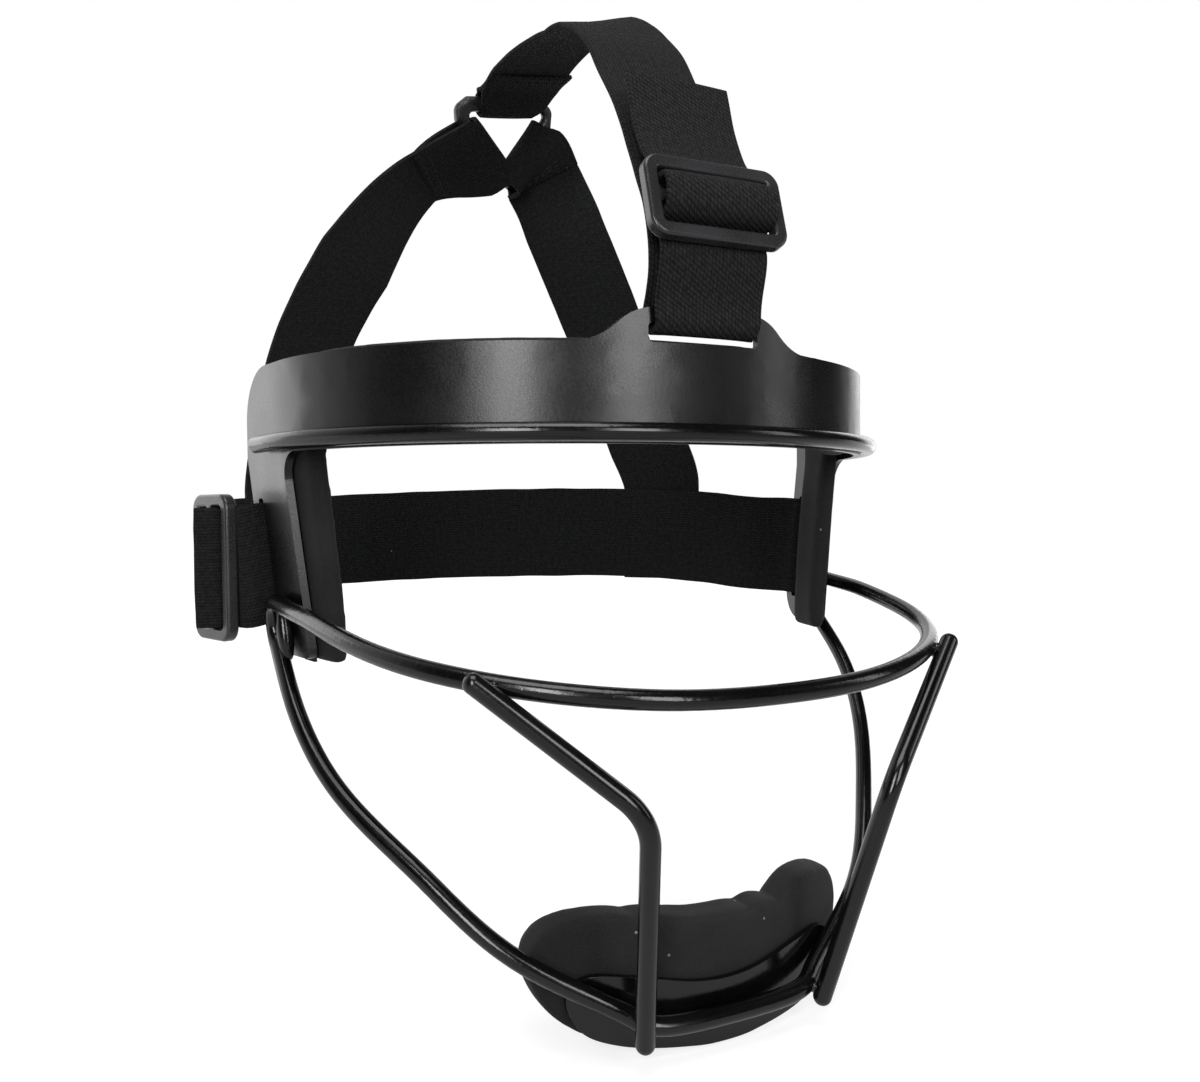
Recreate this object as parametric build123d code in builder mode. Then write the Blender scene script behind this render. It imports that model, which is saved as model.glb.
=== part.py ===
from build123d import *
import os
from math import asin, cos, degrees, radians, sin, sqrt

# Softball fielder's face guard, in millimetres.
# +Z is up and the mask looks along -Y, so the wearer's right is at -X.
# The origin lies on the mid plane, level with the brow wire and the widest part of the brow.

os.makedirs("parts", exist_ok=True)

# Stock
wire_diameter = 4.76
plate_thickness = 2.0
webbing_thickness = 1.7
crown_webbing_width = 30.5
back_webbing_width = 34.5
side_pad_thickness = 4.6
brow_pad_thickness = 9.0
tape_thickness = 0.8

# Clearances
seat_gap = 0.1
soft_gap = 0.3
overrun = 5.0

# Brow line, taken at the middle of the brow wire
brow_half_width = 97.7
brow_reach = 83.3
flank_start = 13.5
rear_reach = 11.5
wire_end_reach = -4.0

# Band and tab
band_top = 22.0
band_below = 2.6
band_rear_corner = 15.0
tab_rise = 8.8
tab_foot_half_width = 29.0
tab_top_half_width = 19.0
tab_shoulder_radius = 16.0
tab_top_radius = 14.0
tab_slot_width = 32.0
tab_slot_height = 4.8
tab_slot_above_band = 2.6
slot_corner = 1.2

# Legs
leg_drop = 59.0
leg_front_reach = 15.6
leg_foot_reach = 17.2
leg_flare_reach = 22.0
leg_flare_drop = 8.5
leg_lean = 0.107
leg_rear_radius = 12.0
leg_front_radius = 3.0
leg_slot_drop = 33.0
leg_slot_height = 36.5
leg_slot_width = 3.8
leg_rear_strip = 4.5
leg_arc_share = 1 - sqrt(0.5)

# Face wire
cage_half_width = 93.6
cheek_reach = 109.5
cheek_drop = 61.0
chin_reach = 92.0
chin_drop = 142.2
hairpin_handle = 6.5

# Nose wires
nose_half_width = 33.3
nose_stand = 1.5
nose_drop = 84.6
nose_radius = 14.0
nose_top_over = 4.2
nose_low_over = 1.2
chin_seat_gap = 1.0
bead_radius = 1.0
cheek_crossing_share = 0.650
chin_crossing_share = 0.247

# Chin plate and pad
chin_curve_radius = 86.4
chin_plate_thickness = 1.6
chin_plate_half_width = 39.0
chin_plate_rise = 1.2
chin_plate_middle_drop = chin_drop - chin_plate_rise
chin_plate_half_height = 10.0
chin_pad_half_width = 48.0
chin_pad_shift = 1.8
chin_pad_rise = 7.9
chin_pad_middle_drop = chin_drop - chin_pad_rise
chin_pad_half_height = 16.7
chin_pad_thickness = 10.0
chin_pad_round = 2.6
chin_pad_back_round = 0.6

# Brow and side pads
brow_pad_top = 23.6
brow_pad_bottom = -1.6
brow_pad_end_reach = 27.0
side_pad_front_reach = 23.6
side_pad_rear_reach = 6.0
side_pad_top = 20.0
side_pad_drop = 60.0
side_pad_waist_reach = 17.8
side_pad_waist_drop = 13.0
side_pad_corner = 7.0
pad_round = 2.0
tape_margin = 1.5

# Sliders
slider_length = 21.5
slider_width = 39.0
slider_thickness = 3.6
slider_bar = 3.6
slider_side = 3.7
slider_middle_bar = 3.0
slider_corner = 4.5
slider_window_corner = 1.0
slider_edge_round = 0.9
back_slider_width = 42.4
top_slider_reach = 84.8
top_slider_rise = 56.0
top_slider_lean = 15.7
back_slider_stand = 10.1
back_slider_reach = 16.4
back_slider_drop = 34.6
back_slider_toe = 5.0

# Harness
harness_reach = 100.0
ring_reach = 57.6
ring_rise = 131.0
ring_roll = 10.1
ring_yaw = 5.7
ring_lean = 20.8
ring_half_width = 22.5
ring_depth = 27.0
ring_rod = 5.0
ring_bar_radius = 2.7
ring_thickness = 4.0
ring_edge_round = 1.4
ring_window_corner = 1.5
fold_room = 0.4
swing_room = 0.9
top_fold_width = 22.0
side_fold_width = 19.0
sewn_length = 24.0
back_tail_sewn_share = 0.6
rear_tail_sewn_share = 1 / 3
fold_run_share = 3
fold_pinch_share = 0.9
top_bulge_share = 1.2
back_bulge_share = 2.0
right_bar_share = 0.54
left_bar_share = 0.58

# Worked out from the sizes above
wire_radius = wire_diameter / 2
plate_inset = wire_radius + seat_gap
tape_inset = plate_inset + plate_thickness + seat_gap
pad_inset = tape_inset + tape_thickness + seat_gap
tab_top = band_top + tab_rise
tab_slot_rise = band_top + tab_slot_above_band
tab_bar_rise = tab_slot_rise + tab_slot_height / 2
half_webbing = webbing_thickness / 2
side_length = 2 * brow_half_width + 2 * overrun


def u_curve(inset, end_reach):
    """The brow's ellipse with a straight flank at each end, set in from the wire's middle."""
    half_width = brow_half_width - inset
    reach = brow_reach - inset
    turn = degrees(asin(flank_start / reach))
    arc = EllipticalCenterArc((0, 0), half_width, reach, start_angle=180 + turn, arc_size=180 - 2 * turn)
    near, far = arc @ 0, arc @ 1
    near_way, far_way = (arc % 0) * -1, arc % 1
    near_end = near + near_way * ((end_reach - near.Y) / near_way.Y)
    far_end = far + far_way * ((end_reach - far.Y) / far_way.Y)
    Line(near_end, near)
    Line(far, far_end)
    return near_end, far_end


def u_strip(inset, thickness, end_reach):
    """The closed outline of a strip that follows the brow."""
    outer = u_curve(inset, end_reach)
    inner = u_curve(inset + thickness, end_reach)
    Line(outer[0], inner[0])
    Line(outer[1], inner[1])


def band(inset, thickness, end_reach, bottom, top):
    """An upright strip that follows the brow between two levels."""
    with BuildPart() as strip:
        with BuildSketch(Plane.XY.offset(bottom)):
            with BuildLine():
                u_strip(inset, thickness, rear_reach)
            make_face()
            with Locations((0, end_reach - brow_reach)):
                Rectangle(side_length, 2 * brow_reach, mode=Mode.INTERSECT)
        extrude(amount=top - bottom)
    return strip.part


def side_strip(inset, thickness, front_reach, end_reach, bottom, top):
    """The strip at the wearer's left side: upright above the band's lower edge, leaning inwards below."""
    middle_reach = (end_reach - front_reach) / 2
    with BuildPart() as strip:
        with BuildSketch(Plane.XY.offset(-band_below)) as outline:
            with BuildLine():
                u_strip(inset, thickness, end_reach)
            make_face()
            with Locations((brow_half_width, middle_reach)):
                Rectangle(2 * brow_half_width - overrun, end_reach + front_reach, mode=Mode.INTERSECT)
        if top > -band_below:
            extrude(amount=top + band_below)
        if bottom < -band_below:
            slant_length = (-bottom - band_below) * sqrt(1 + leg_lean**2)
            extrude(outline.sketch, amount=slant_length, dir=(-leg_lean, 0, -1))
    return strip.part


def leg_point(side, reach, drop, out):
    """A point beside a leg: how far back, how far down and how far out from its middle plane."""
    half_width = brow_half_width - plate_inset
    depth = brow_reach - plate_inset
    start = half_width * sqrt(1 - (flank_start / depth) ** 2)
    slope = (half_width / depth) ** 2 * flank_start / start
    face = start + slope * (reach + flank_start) - leg_lean * (drop - band_below)
    normal = Vector(1, -slope, -leg_lean).normalized()
    middle = Vector(face, reach, -drop) + normal * (out - plate_thickness / 2)
    return Vector(side * middle.X, middle.Y, middle.Z)


def save(part, name):
    part.label = name
    export_step(part, f"parts/{name}.step")
    print(name, len(part.solids()), round(part.volume), part.is_valid)


# Brow plate: the band, the raised tab and the two legs, with their slots
with BuildPart() as leg:
    add(side_strip(plate_inset, plate_thickness, leg_flare_reach, rear_reach, -leg_drop, -band_below))
    with BuildSketch(Plane.YZ):
        with BuildLine():
            Polyline(
                (-leg_flare_reach, -band_below),
                (rear_reach, -band_below),
                (rear_reach, -leg_drop),
                (-leg_foot_reach, -leg_drop),
                (-leg_front_reach, -band_below - leg_flare_drop),
            )
            ThreePointArc(
                (-leg_front_reach, -band_below - leg_flare_drop),
                (
                    -leg_front_reach - leg_arc_share * (leg_flare_reach - leg_front_reach),
                    -band_below - leg_arc_share * leg_flare_drop,
                ),
                (-leg_flare_reach, -band_below),
            )
        make_face()
        fillet(vertices().group_by(Axis.Y)[0].sort_by(Axis.X)[-1], leg_rear_radius)
        fillet(vertices().group_by(Axis.Y)[0].sort_by(Axis.X)[0], leg_front_radius)
    extrude(amount=side_length, mode=Mode.INTERSECT)

with BuildPart() as brow_plate:
    add(band(plate_inset, plate_thickness, rear_reach, -band_below, tab_top))
    with BuildSketch(Plane.XZ):
        with Locations((0, (band_top - band_below) / 2)):
            Rectangle(side_length, band_top + band_below)
        with BuildLine():
            Polyline(
                (-tab_foot_half_width, band_top),
                (-tab_top_half_width, tab_top),
                (tab_top_half_width, tab_top),
                (tab_foot_half_width, band_top),
                close=True,
            )
        make_face()
        fillet(vertices().group_by(Axis.Y)[-1], tab_top_radius)
        fillet(vertices().group_by(Axis.Y)[-3].sort_by(Axis.X)[1:-1], tab_shoulder_radius)
    extrude(amount=side_length, both=True, mode=Mode.INTERSECT)
    with BuildSketch(Plane.YZ):
        with BuildLine():
            Polyline(
                (-brow_reach, -band_below),
                (rear_reach, -band_below),
                (rear_reach, band_top),
                (-flank_start, band_top),
                (-flank_start, tab_top),
                (-brow_reach, tab_top),
                close=True,
            )
        make_face()
        fillet(vertices().sort_by(Axis.X).group_by(Axis.X)[-1].sort_by(Axis.Y)[-1], band_rear_corner)
    extrude(amount=side_length, both=True, mode=Mode.INTERSECT)
    add(leg.part)
    mirror(leg.part, about=Plane.YZ)
    with BuildSketch(Plane.XZ):
        with Locations((0, tab_slot_rise)):
            RectangleRounded(tab_slot_width, tab_slot_height, slot_corner)
    extrude(amount=side_length, mode=Mode.SUBTRACT)
    with BuildSketch(Plane.YZ):
        with Locations((rear_reach - leg_rear_strip - leg_slot_width / 2, -leg_slot_drop)):
            RectangleRounded(leg_slot_width, leg_slot_height, slot_corner)
    extrude(amount=side_length, both=True, mode=Mode.SUBTRACT)
save(brow_plate.part, "brow_plate")

# Brow wire: round wire along the outside of the band, with rounded ends
with BuildPart() as brow_wire:
    with BuildLine() as brow_line:
        wire_ends = u_curve(0, wire_end_reach)
    brow_path = brow_line.wire()
    with BuildSketch(Plane(origin=brow_path @ 0, z_dir=brow_path % 0)):
        Circle(wire_radius)
    sweep(path=brow_path)
    with Locations(*wire_ends):
        Sphere(wire_radius)
save(brow_wire.part, "brow_wire")

# Face wire: shares of the half width, the reach and the drop of the cheek bar and of the chin
cheek_shares = [
    (0, 1, 1),
    (0.295, 0.984, 0.985),
    (0.560, 0.901, 0.943),
    (0.779, 0.740, 0.884),
    (0.904, 0.524, 0.818),
    (0.966, 0.292, 0.756),
    (1.005, 0.064, 0.718),
]
jaw_shares = [
    (0.998, 0.033, 0.394),
    (0.982, 0.2185, 0.496),
    (0.908, 0.413, 0.6245),
    (0.737, 0.636, 0.756),
    (0.535, 0.826, 0.885),
    (0.293, 0.951, 0.975),
    (0, 1, 1),
]
cheek_end_shares = (0.12, 0.99, 0.09)
jaw_start_shares = (-0.06, -0.76, -0.645)
cheek_points = [Vector(x * cage_half_width, -y * cheek_reach, -z * cheek_drop) for x, y, z in cheek_shares]
jaw_points = [Vector(x * cage_half_width, -y * chin_reach, -z * chin_drop) for x, y, z in jaw_shares]
cheek_end_way = Vector(*cheek_end_shares).normalized()
jaw_start_way = Vector(*jaw_start_shares).normalized()

with BuildPart() as face_wire:
    with BuildLine() as face_line:
        cheek_line = Spline(*cheek_points, tangents=((1, 0, 0), cheek_end_way))
        jaw_line = Spline(*jaw_points, tangents=(jaw_start_way, (-1, 0, 0)))
        Bezier(
            cheek_line @ 1,
            cheek_line @ 1 + cheek_end_way * hairpin_handle,
            jaw_line @ 0 - jaw_start_way * hairpin_handle,
            jaw_line @ 0,
        )
    with BuildSketch(Plane(origin=cheek_line @ 0, z_dir=(1, 0, 0))):
        Circle(wire_radius)
    sweep(path=face_line.wire())
    mirror(about=Plane.YZ)
save(face_wire.part, "face_wire")


# Nose wires: cranked wires that lie on the outside of the cheek bar and the chin wire
def seat_on(line, half_width):
    """A wire's point at a given half width, and the seat on its outside for a wire from the nose bend."""
    places = [line @ (step / 200) for step in range(201)]
    ways = [line % (step / 200) for step in range(201)]
    under, way = min(zip(places, ways), key=lambda pair: abs(pair[0].X - half_width))
    seat = under
    for _ in range(3):
        normal = way.cross(nose_bend - seat).normalized()
        if normal.Y > 0:
            normal = normal * -1
        seat = under + normal * (wire_diameter + seat_gap)
    return under, seat, way


nose_bend = Vector(nose_half_width, -cheek_reach - nose_stand, -nose_drop)
cheek_under, cheek_seat, cheek_way = seat_on(cheek_line, cheek_crossing_share * cage_half_width)
chin_under, chin_seat, chin_way = seat_on(jaw_line, chin_crossing_share * cage_half_width)
up_way = (cheek_seat - nose_bend).normalized()
down_way = (chin_seat - nose_bend).normalized()
half_turn = radians(180 - up_way.get_angle(down_way)) / 2
run_in = nose_radius * sin(half_turn) / cos(half_turn)

with BuildPart() as nose_wire_left:
    with BuildLine() as nose_line:
        top_line = Line(cheek_seat + up_way * nose_top_over, nose_bend + up_way * run_in)
        bend_line = TangentArc(top_line @ 1, nose_bend + down_way * run_in, tangent=up_way * -1)
        Line(bend_line @ 1, chin_seat + down_way * nose_low_over)
    nose_path = nose_line.wire()
    with BuildSketch(Plane(origin=nose_path @ 0, z_dir=nose_path % 0)):
        Circle(wire_radius)
    sweep(path=nose_path)
    with Locations(nose_path @ 0, nose_path @ 1):
        Sphere(wire_radius)
with BuildPart() as nose_wire_right:
    mirror(nose_wire_left.part, about=Plane.YZ)
save(nose_wire_left.part, "nose_wire_left")
save(nose_wire_right.part, "nose_wire_right")

# Weld beads: beside the nose wires' crossings, and between each leg's foot and the face wire's hairpin
touching = wire_radius + bead_radius + seat_gap


def crossing_beads(under, over, under_way, over_way):
    """Two bead places in the corners between two wires that cross."""
    half_gap = (over - under).length / 2
    if under_way.dot(over_way) > 0:
        over_way = over_way * -1
    half_angle = radians(under_way.get_angle(over_way)) / 2
    reach = sqrt(touching**2 - half_gap**2) / sin(half_angle)
    way = (under_way + over_way).normalized()
    return [(under + over) / 2 + way * reach, (under + over) / 2 - way * reach]


def foot_bead(point, way, other):
    """A bead place on the leg's outer face, beside the wire and on the side of another point."""
    face = leg_point(1, point.Y, -point.Z, plate_thickness / 2)
    normal = (face - leg_point(1, point.Y, -point.Z, 0)).normalized()
    across = way.cross(normal).normalized()
    if across.dot(other - point) < 0:
        across = across * -1
    rise = bead_radius + seat_gap
    wire_rise = (point - face).dot(normal)
    return point + normal * (rise - wire_rise) + across * sqrt(touching**2 - (wire_rise - rise) ** 2)


bead_places = crossing_beads(cheek_under, cheek_seat, cheek_way, up_way)
bead_places += crossing_beads(chin_under, chin_seat, chin_way, down_way)
bead_places += [foot_bead(cheek_points[-1], cheek_end_way, jaw_points[0])]
bead_places += [foot_bead(jaw_points[0], jaw_start_way, cheek_points[-1])]
with BuildPart() as weld_beads:
    with Locations(*bead_places):
        Sphere(bead_radius)
    mirror(about=Plane.YZ)
save(weld_beads.part, "weld_beads")


# Chin plate and pad: curved with the chin wire, cut to an outline seen from the front
def chin_curve(inset, thickness, outline_shares, half_width, middle_drop, half_height, shift=0):
    """A curved piece inside the chin wire, cut to a closed outline given for its wearer's left half."""
    radius = chin_curve_radius - inset
    points = [(x * half_width, y * half_height - middle_drop) for x, y in outline_shares]
    with BuildPart() as piece:
        with BuildSketch(Plane.XY.offset(-middle_drop - 2 * half_height)):
            with Locations((0, chin_curve_radius - chin_reach)):
                Circle(radius)
                Circle(radius - thickness, mode=Mode.SUBTRACT)
            with Locations((0, -chin_reach / 2)):
                Rectangle(2 * chin_reach, chin_reach, mode=Mode.INTERSECT)
        extrude(amount=4 * half_height)
        with BuildSketch(Plane.XZ.move(Location((shift, 0, 0)))):
            with BuildLine():
                Spline(*points, tangents=((1, 0), (-1, 0)))
                Line(points[-1], points[0])
            make_face()
            mirror(about=Plane.YZ)
        extrude(amount=side_length, mode=Mode.INTERSECT)
    return piece.part


chin_plate_shares = [
    (0, 0.60),
    (0.28, 0.70),
    (0.48, 0.86),
    (0.72, 1.0),
    (0.92, 0.93),
    (1.0, 0.55),
    (0.98, 0.0),
    (0.92, -0.35),
    (0.78, -0.62),
    (0.5, -0.83),
    (0.25, -0.93),
    (0, -0.98),
]
chin_pad_shares = [
    (0, 0.84),
    (0.25, 0.89),
    (0.45, 1.0),
    (0.65, 1.02),
    (0.82, 0.92),
    (0.95, 0.65),
    (1.0, 0.30),
    (0.98, -0.05),
    (0.91, -0.42),
    (0.80, -0.68),
    (0.62, -0.87),
    (0.35, -0.97),
    (0, -1.0),
]
chin_tape_share = 0.88
chin_plate_inset = wire_radius + chin_seat_gap
chin_tape_inset = chin_plate_inset + chin_plate_thickness + seat_gap
chin_pad_inset = chin_tape_inset + tape_thickness + seat_gap

chin_plate = chin_curve(
    chin_plate_inset,
    chin_plate_thickness,
    chin_plate_shares,
    chin_plate_half_width,
    chin_plate_middle_drop,
    chin_plate_half_height,
)
save(chin_plate, "chin_plate")

with BuildPart() as chin_pad:
    add(
        chin_curve(
            chin_pad_inset,
            chin_pad_thickness,
            chin_pad_shares,
            chin_pad_half_width,
            chin_pad_middle_drop,
            chin_pad_half_height,
            chin_pad_shift,
        )
    )
    curved = faces().filter_by(GeomType.CYLINDER).sort_by(lambda face: face.radius)
    inner_edges, outer_edges = curved[0].edges(), curved[-1].edges()
    fillet(inner_edges, chin_pad_round)
    fillet(outer_edges, chin_pad_back_round)
save(chin_pad.part, "chin_pad")

with BuildPart() as chin_pad_tape:
    add(
        chin_curve(
            chin_tape_inset,
            tape_thickness,
            chin_plate_shares,
            chin_plate_half_width * chin_tape_share,
            chin_plate_middle_drop,
            chin_plate_half_height * chin_tape_share,
        )
    )
save(chin_pad_tape.part, "chin_pad_tape")

# Brow pad and its tape
with BuildPart() as brow_pad:
    add(band(pad_inset, brow_pad_thickness, -brow_pad_end_reach, brow_pad_bottom, brow_pad_top))
    walls = faces().filter_by(lambda face: abs(face.normal_at().Z) < 0.5).sort_by(lambda face: face.area)
    inner_wall, outer_wall = walls[-2:]
    fillet(inner_wall.edges(), pad_round)
save(brow_pad.part, "brow_pad")

with BuildPart() as brow_pad_tape:
    add(
        band(
            tape_inset,
            tape_thickness,
            -brow_pad_end_reach - tape_margin,
            brow_pad_bottom + tape_margin,
            band_top - tape_margin,
        )
    )
save(brow_pad_tape.part, "brow_pad_tape")


# Side pads and tapes
def side_outline(margin):
    """The side view of a side pad: waisted in front above the leg, round at the foot."""
    front = -side_pad_front_reach + margin
    rear = -side_pad_rear_reach - margin
    top = side_pad_top - margin
    bottom = -side_pad_drop + margin
    with BuildSketch(Plane.YZ) as outline:
        with BuildLine():
            Polyline((front, top), (rear, top), (rear, bottom), (front, bottom), (front, -leg_slot_drop))
            Spline(
                (front, -leg_slot_drop),
                (-side_pad_waist_reach, -side_pad_waist_drop),
                (front, top / 2),
                tangents=((0, 1), (0, 1)),
            )
            Line((front, top / 2), (front, top))
        make_face()
        corners = vertices().group_by(Axis.Y)
        fillet(corners[0] + corners[-1], side_pad_corner - margin)
    return outline.sketch


with BuildPart() as side_pad_left:
    add(
        side_strip(
            pad_inset,
            side_pad_thickness,
            side_pad_front_reach,
            -side_pad_rear_reach,
            -side_pad_drop,
            side_pad_top,
        )
    )
    add(side_outline(0))
    extrude(amount=side_length, mode=Mode.INTERSECT)
    walls = faces().sort_by(lambda face: face.area)[-4:]
    inner_walls = walls.sort_by(Axis.X)[:2]
    upper_edges, lower_edges = inner_walls[0].edges(), inner_walls[1].edges()
    rims = [edge for edge in upper_edges if edge not in lower_edges]
    rims += [edge for edge in lower_edges if edge not in upper_edges]
    fillet(rims, pad_round)
with BuildPart() as side_pad_right:
    mirror(side_pad_left.part, about=Plane.YZ)
save(side_pad_left.part, "side_pad_left")
save(side_pad_right.part, "side_pad_right")

with BuildPart() as side_pad_tape_left:
    add(
        side_strip(
            tape_inset,
            tape_thickness,
            leg_front_reach - tape_margin,
            -side_pad_rear_reach - tape_margin,
            -side_pad_drop,
            side_pad_top,
        )
    )
    add(side_outline(tape_margin))
    extrude(amount=side_length, mode=Mode.INTERSECT)
with BuildPart() as side_pad_tape_right:
    mirror(side_pad_tape_left.part, about=Plane.YZ)
save(side_pad_tape_left.part, "side_pad_tape_left")
save(side_pad_tape_right.part, "side_pad_tape_right")


# Sliders: a frame with a middle bar
def slider(place, width):
    """A three-bar slider; the place's x runs along the strap and its y across it."""
    window = (slider_length - 2 * slider_bar - slider_middle_bar) / 2
    with BuildPart() as frame:
        with BuildSketch(place.offset(-slider_thickness / 2)):
            RectangleRounded(slider_length, width, slider_corner)
            with GridLocations(window + slider_middle_bar, 0, 2, 1):
                RectangleRounded(window, width - 2 * slider_side, slider_window_corner, mode=Mode.SUBTRACT)
        extrude(amount=slider_thickness)
        flat = faces().sort_by(lambda face: face.area)[-2:]
        fillet(flat.edges(), slider_edge_round)
    return frame.part


top_way = Vector(0, sin(radians(top_slider_lean)), cos(radians(top_slider_lean)))
top_place = Plane(
    origin=(0, -top_slider_reach, top_slider_rise), x_dir=top_way, z_dir=Vector(1, 0, 0).cross(top_way)
)
back_way = Vector(sin(radians(back_slider_toe)), cos(radians(back_slider_toe)), 0)
back_place = Plane(
    origin=(-brow_half_width - back_slider_stand, back_slider_reach, -back_slider_drop),
    x_dir=back_way,
    z_dir=Vector(-back_way.Y, back_way.X, 0),
)
top_slider = slider(top_place, slider_width)
back_slider = slider(back_place, back_slider_width)
save(top_slider, "top_slider")
save(back_slider, "back_slider")

# Rear ring: a moulded triangle with round corners and a round bar on top
ring_top = Vector(0, ring_reach, ring_rise)
bar_way = Vector(1, 0, 0).rotate(Axis.Y, -ring_roll).rotate(Axis.Z, ring_yaw)
ring_way = Vector(0, sin(radians(ring_lean)), -cos(radians(ring_lean)))
ring_way = (ring_way - bar_way * ring_way.dot(bar_way)).normalized()
ring_out = bar_way.cross(ring_way)
ring_place = Plane(origin=ring_top, x_dir=bar_way, z_dir=ring_out)
ring_side = sqrt(ring_half_width**2 + ring_depth**2)
ring_inradius = ring_half_width * ring_depth / (ring_half_width + ring_side)
window_share = 1 - ring_rod / 2 / ring_inradius
ring_corners = [(-ring_half_width, 0), (ring_half_width, 0), (0, ring_depth)]
window_corners = [
    (x * window_share, ring_inradius + (y - ring_inradius) * window_share) for x, y in ring_corners
]
with BuildPart() as rear_ring:
    with BuildSketch(ring_place.offset(-ring_thickness / 2)):
        Polygon(*ring_corners, align=None)
        offset(amount=ring_rod / 2, kind=Kind.ARC)
    extrude(amount=ring_thickness)
    with BuildSketch(ring_place.offset(-ring_thickness / 2)):
        Polygon(*window_corners, align=None)
        fillet(vertices(), ring_window_corner)
    extrude(amount=ring_thickness, mode=Mode.SUBTRACT)
    flat = faces().sort_by(lambda face: face.area)[-2:]
    fillet(flat.edges(), ring_edge_round)
    with BuildSketch(Plane(origin=ring_top, z_dir=bar_way)):
        Circle(ring_bar_radius)
    extrude(amount=ring_half_width * window_share, both=True)
save(rear_ring.part, "rear_ring")


# Webbing: flat stations joined by straight faces
def webbing(points, across, width, shares=None):
    """Webbing through points, with the way across and a share of the width at each."""
    count = len(points)
    if shares is None:
        shares = [1] * count
    ways = [(points[step + 1] - points[step]).normalized() for step in range(count - 1)]
    ways = [ways[0]] + [(near + far).normalized() for near, far in zip(ways, ways[1:])] + [ways[-1]]
    with BuildPart() as strap:
        for middle, way, side, share in zip(points, ways, across, shares):
            flat_side = (side - way * side.dot(way)).normalized()
            with BuildSketch(Plane(origin=middle, x_dir=flat_side, z_dir=way)):
                Rectangle(width * share, webbing_thickness)
        loft(ruled=True)
    return strap.part


def turn(centre, start, side, radius, first, last, steps):
    """Points of an arc from one angle to another, measured from one way towards another."""
    angles = [radians(first + (last - first) * step / steps) for step in range(steps + 1)]
    return [centre + (start * cos(angle) + side * sin(angle)) * radius for angle in angles]


window_shares = [(1.0, -1.03), (0.66, -0.78), (0.5, 0.0), (0.34, 0.80)]


def threaded(place, bulge_share):
    """The webbing's way through a slider, from behind one end bar over the middle bar to behind the other."""
    behind = slider_thickness / 2 + soft_gap + half_webbing
    inner_bar = slider_middle_bar / 2
    outer_bar = slider_length / 2 - slider_bar
    window = outer_bar - inner_bar
    over_shares = [*window_shares, (0, (1 + bulge_share) / 2)]
    steps = [(-slider_length / 2 - soft_gap, -behind)]
    steps += [(-inner_bar - share * window, rise * behind) for share, rise in over_shares]
    steps += [(0, bulge_share * behind)]
    steps += [(inner_bar + share * window, rise * behind) for share, rise in reversed(over_shares)]
    steps += [(slider_length / 2 + soft_gap, -behind)]
    return [place.from_local_coords(Vector(along, 0, out)) for along, out in steps]


# Crown strap: from the tab's slot over the head to the ring, folded back under itself there
fold_radius = ring_bar_radius + fold_room + half_webbing
side_fold_radius = ring_rod / 2 + swing_room + half_webbing
layer = half_webbing + seat_gap / 2
level_way = Vector(1, 0, 0)
back_of_bar = -brow_reach + tape_inset
bar_sagitta = (crown_webbing_width / 2) ** 2 * brow_reach / (2 * brow_half_width**2)
tab_fold_radius = (plate_thickness + bar_sagitta) / 2 + 2 * soft_gap + half_webbing
tab_fold_reach = back_of_bar + bar_sagitta - (plate_thickness + bar_sagitta) / 2
tab_fold = Vector(0, tab_fold_reach, tab_bar_rise + half_webbing)
crown_shares = [
    (-0.772, 0.335),
    (-0.789, 0.410),
    (-0.786, 0.490),
    (-0.762, 0.570),
    (-0.725, 0.645),
    (-0.685, 0.725),
    (-0.641, 0.810),
    (-0.585, 0.900),
    (-0.520, 0.985),
    (-0.440, 1.098),
    (-0.350, 1.180),
    (-0.255, 1.248),
    (-0.140, 1.312),
    (0.000, 1.334),
    (0.150, 1.340),
    (0.300, 1.338),
]
crown_points = [Vector(0, y * harness_reach, z * harness_reach) for y, z in crown_shares]
roll_shares = [0] * 7 + [0.2, 0.45, 0.7, 0.95, 1.2, 1.4, 1.35, 1.25, 1.1]
front_way = (crown_points[-1] - ring_top).normalized()
front_way = (front_way - bar_way * front_way.dot(bar_way)).normalized()
over_way = bar_way.cross(front_way) * -1
fold_points = [ring_top + front_way * (fold_run_share * fold_radius) + over_way * layer]
fold_points += [ring_top + front_way * fold_radius + over_way * (fold_radius * fold_pinch_share)]
fold_points += turn(ring_top, over_way, front_way * -1, fold_radius, 0, 180, 6)
fold_points += [ring_top + front_way * fold_radius - over_way * (fold_radius * fold_pinch_share)]
fold_points += [ring_top + front_way * (fold_run_share * fold_radius) - over_way * layer]
fold_points += [ring_top + front_way * (fold_run_share * fold_radius + sewn_length / 2) - over_way * layer]
tab_points = turn(tab_fold, Vector(0, -1, 0), Vector(0, 0, -1), tab_fold_radius, 0, 180, 6)
tab_points += [Vector(0, tab_points[-1].Y, tab_top + soft_gap)]
top_points = tab_points + crown_points + fold_points
roll_count = len(crown_points)
top_across = [level_way] * len(tab_points)
top_across += [(level_way + (bar_way - level_way) * share).normalized() for share in roll_shares]
top_across += [bar_way] * len(fold_points)
narrow = top_fold_width / crown_webbing_width
top_shares = [1] * (len(tab_points) + roll_count + 1)
top_shares += [(1 + narrow) / 2] + [narrow] * 7 + [(1 + narrow) / 2, 1, 1]
top_strap = webbing(top_points, top_across, crown_webbing_width, top_shares)
save(top_strap, "top_strap")

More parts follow.
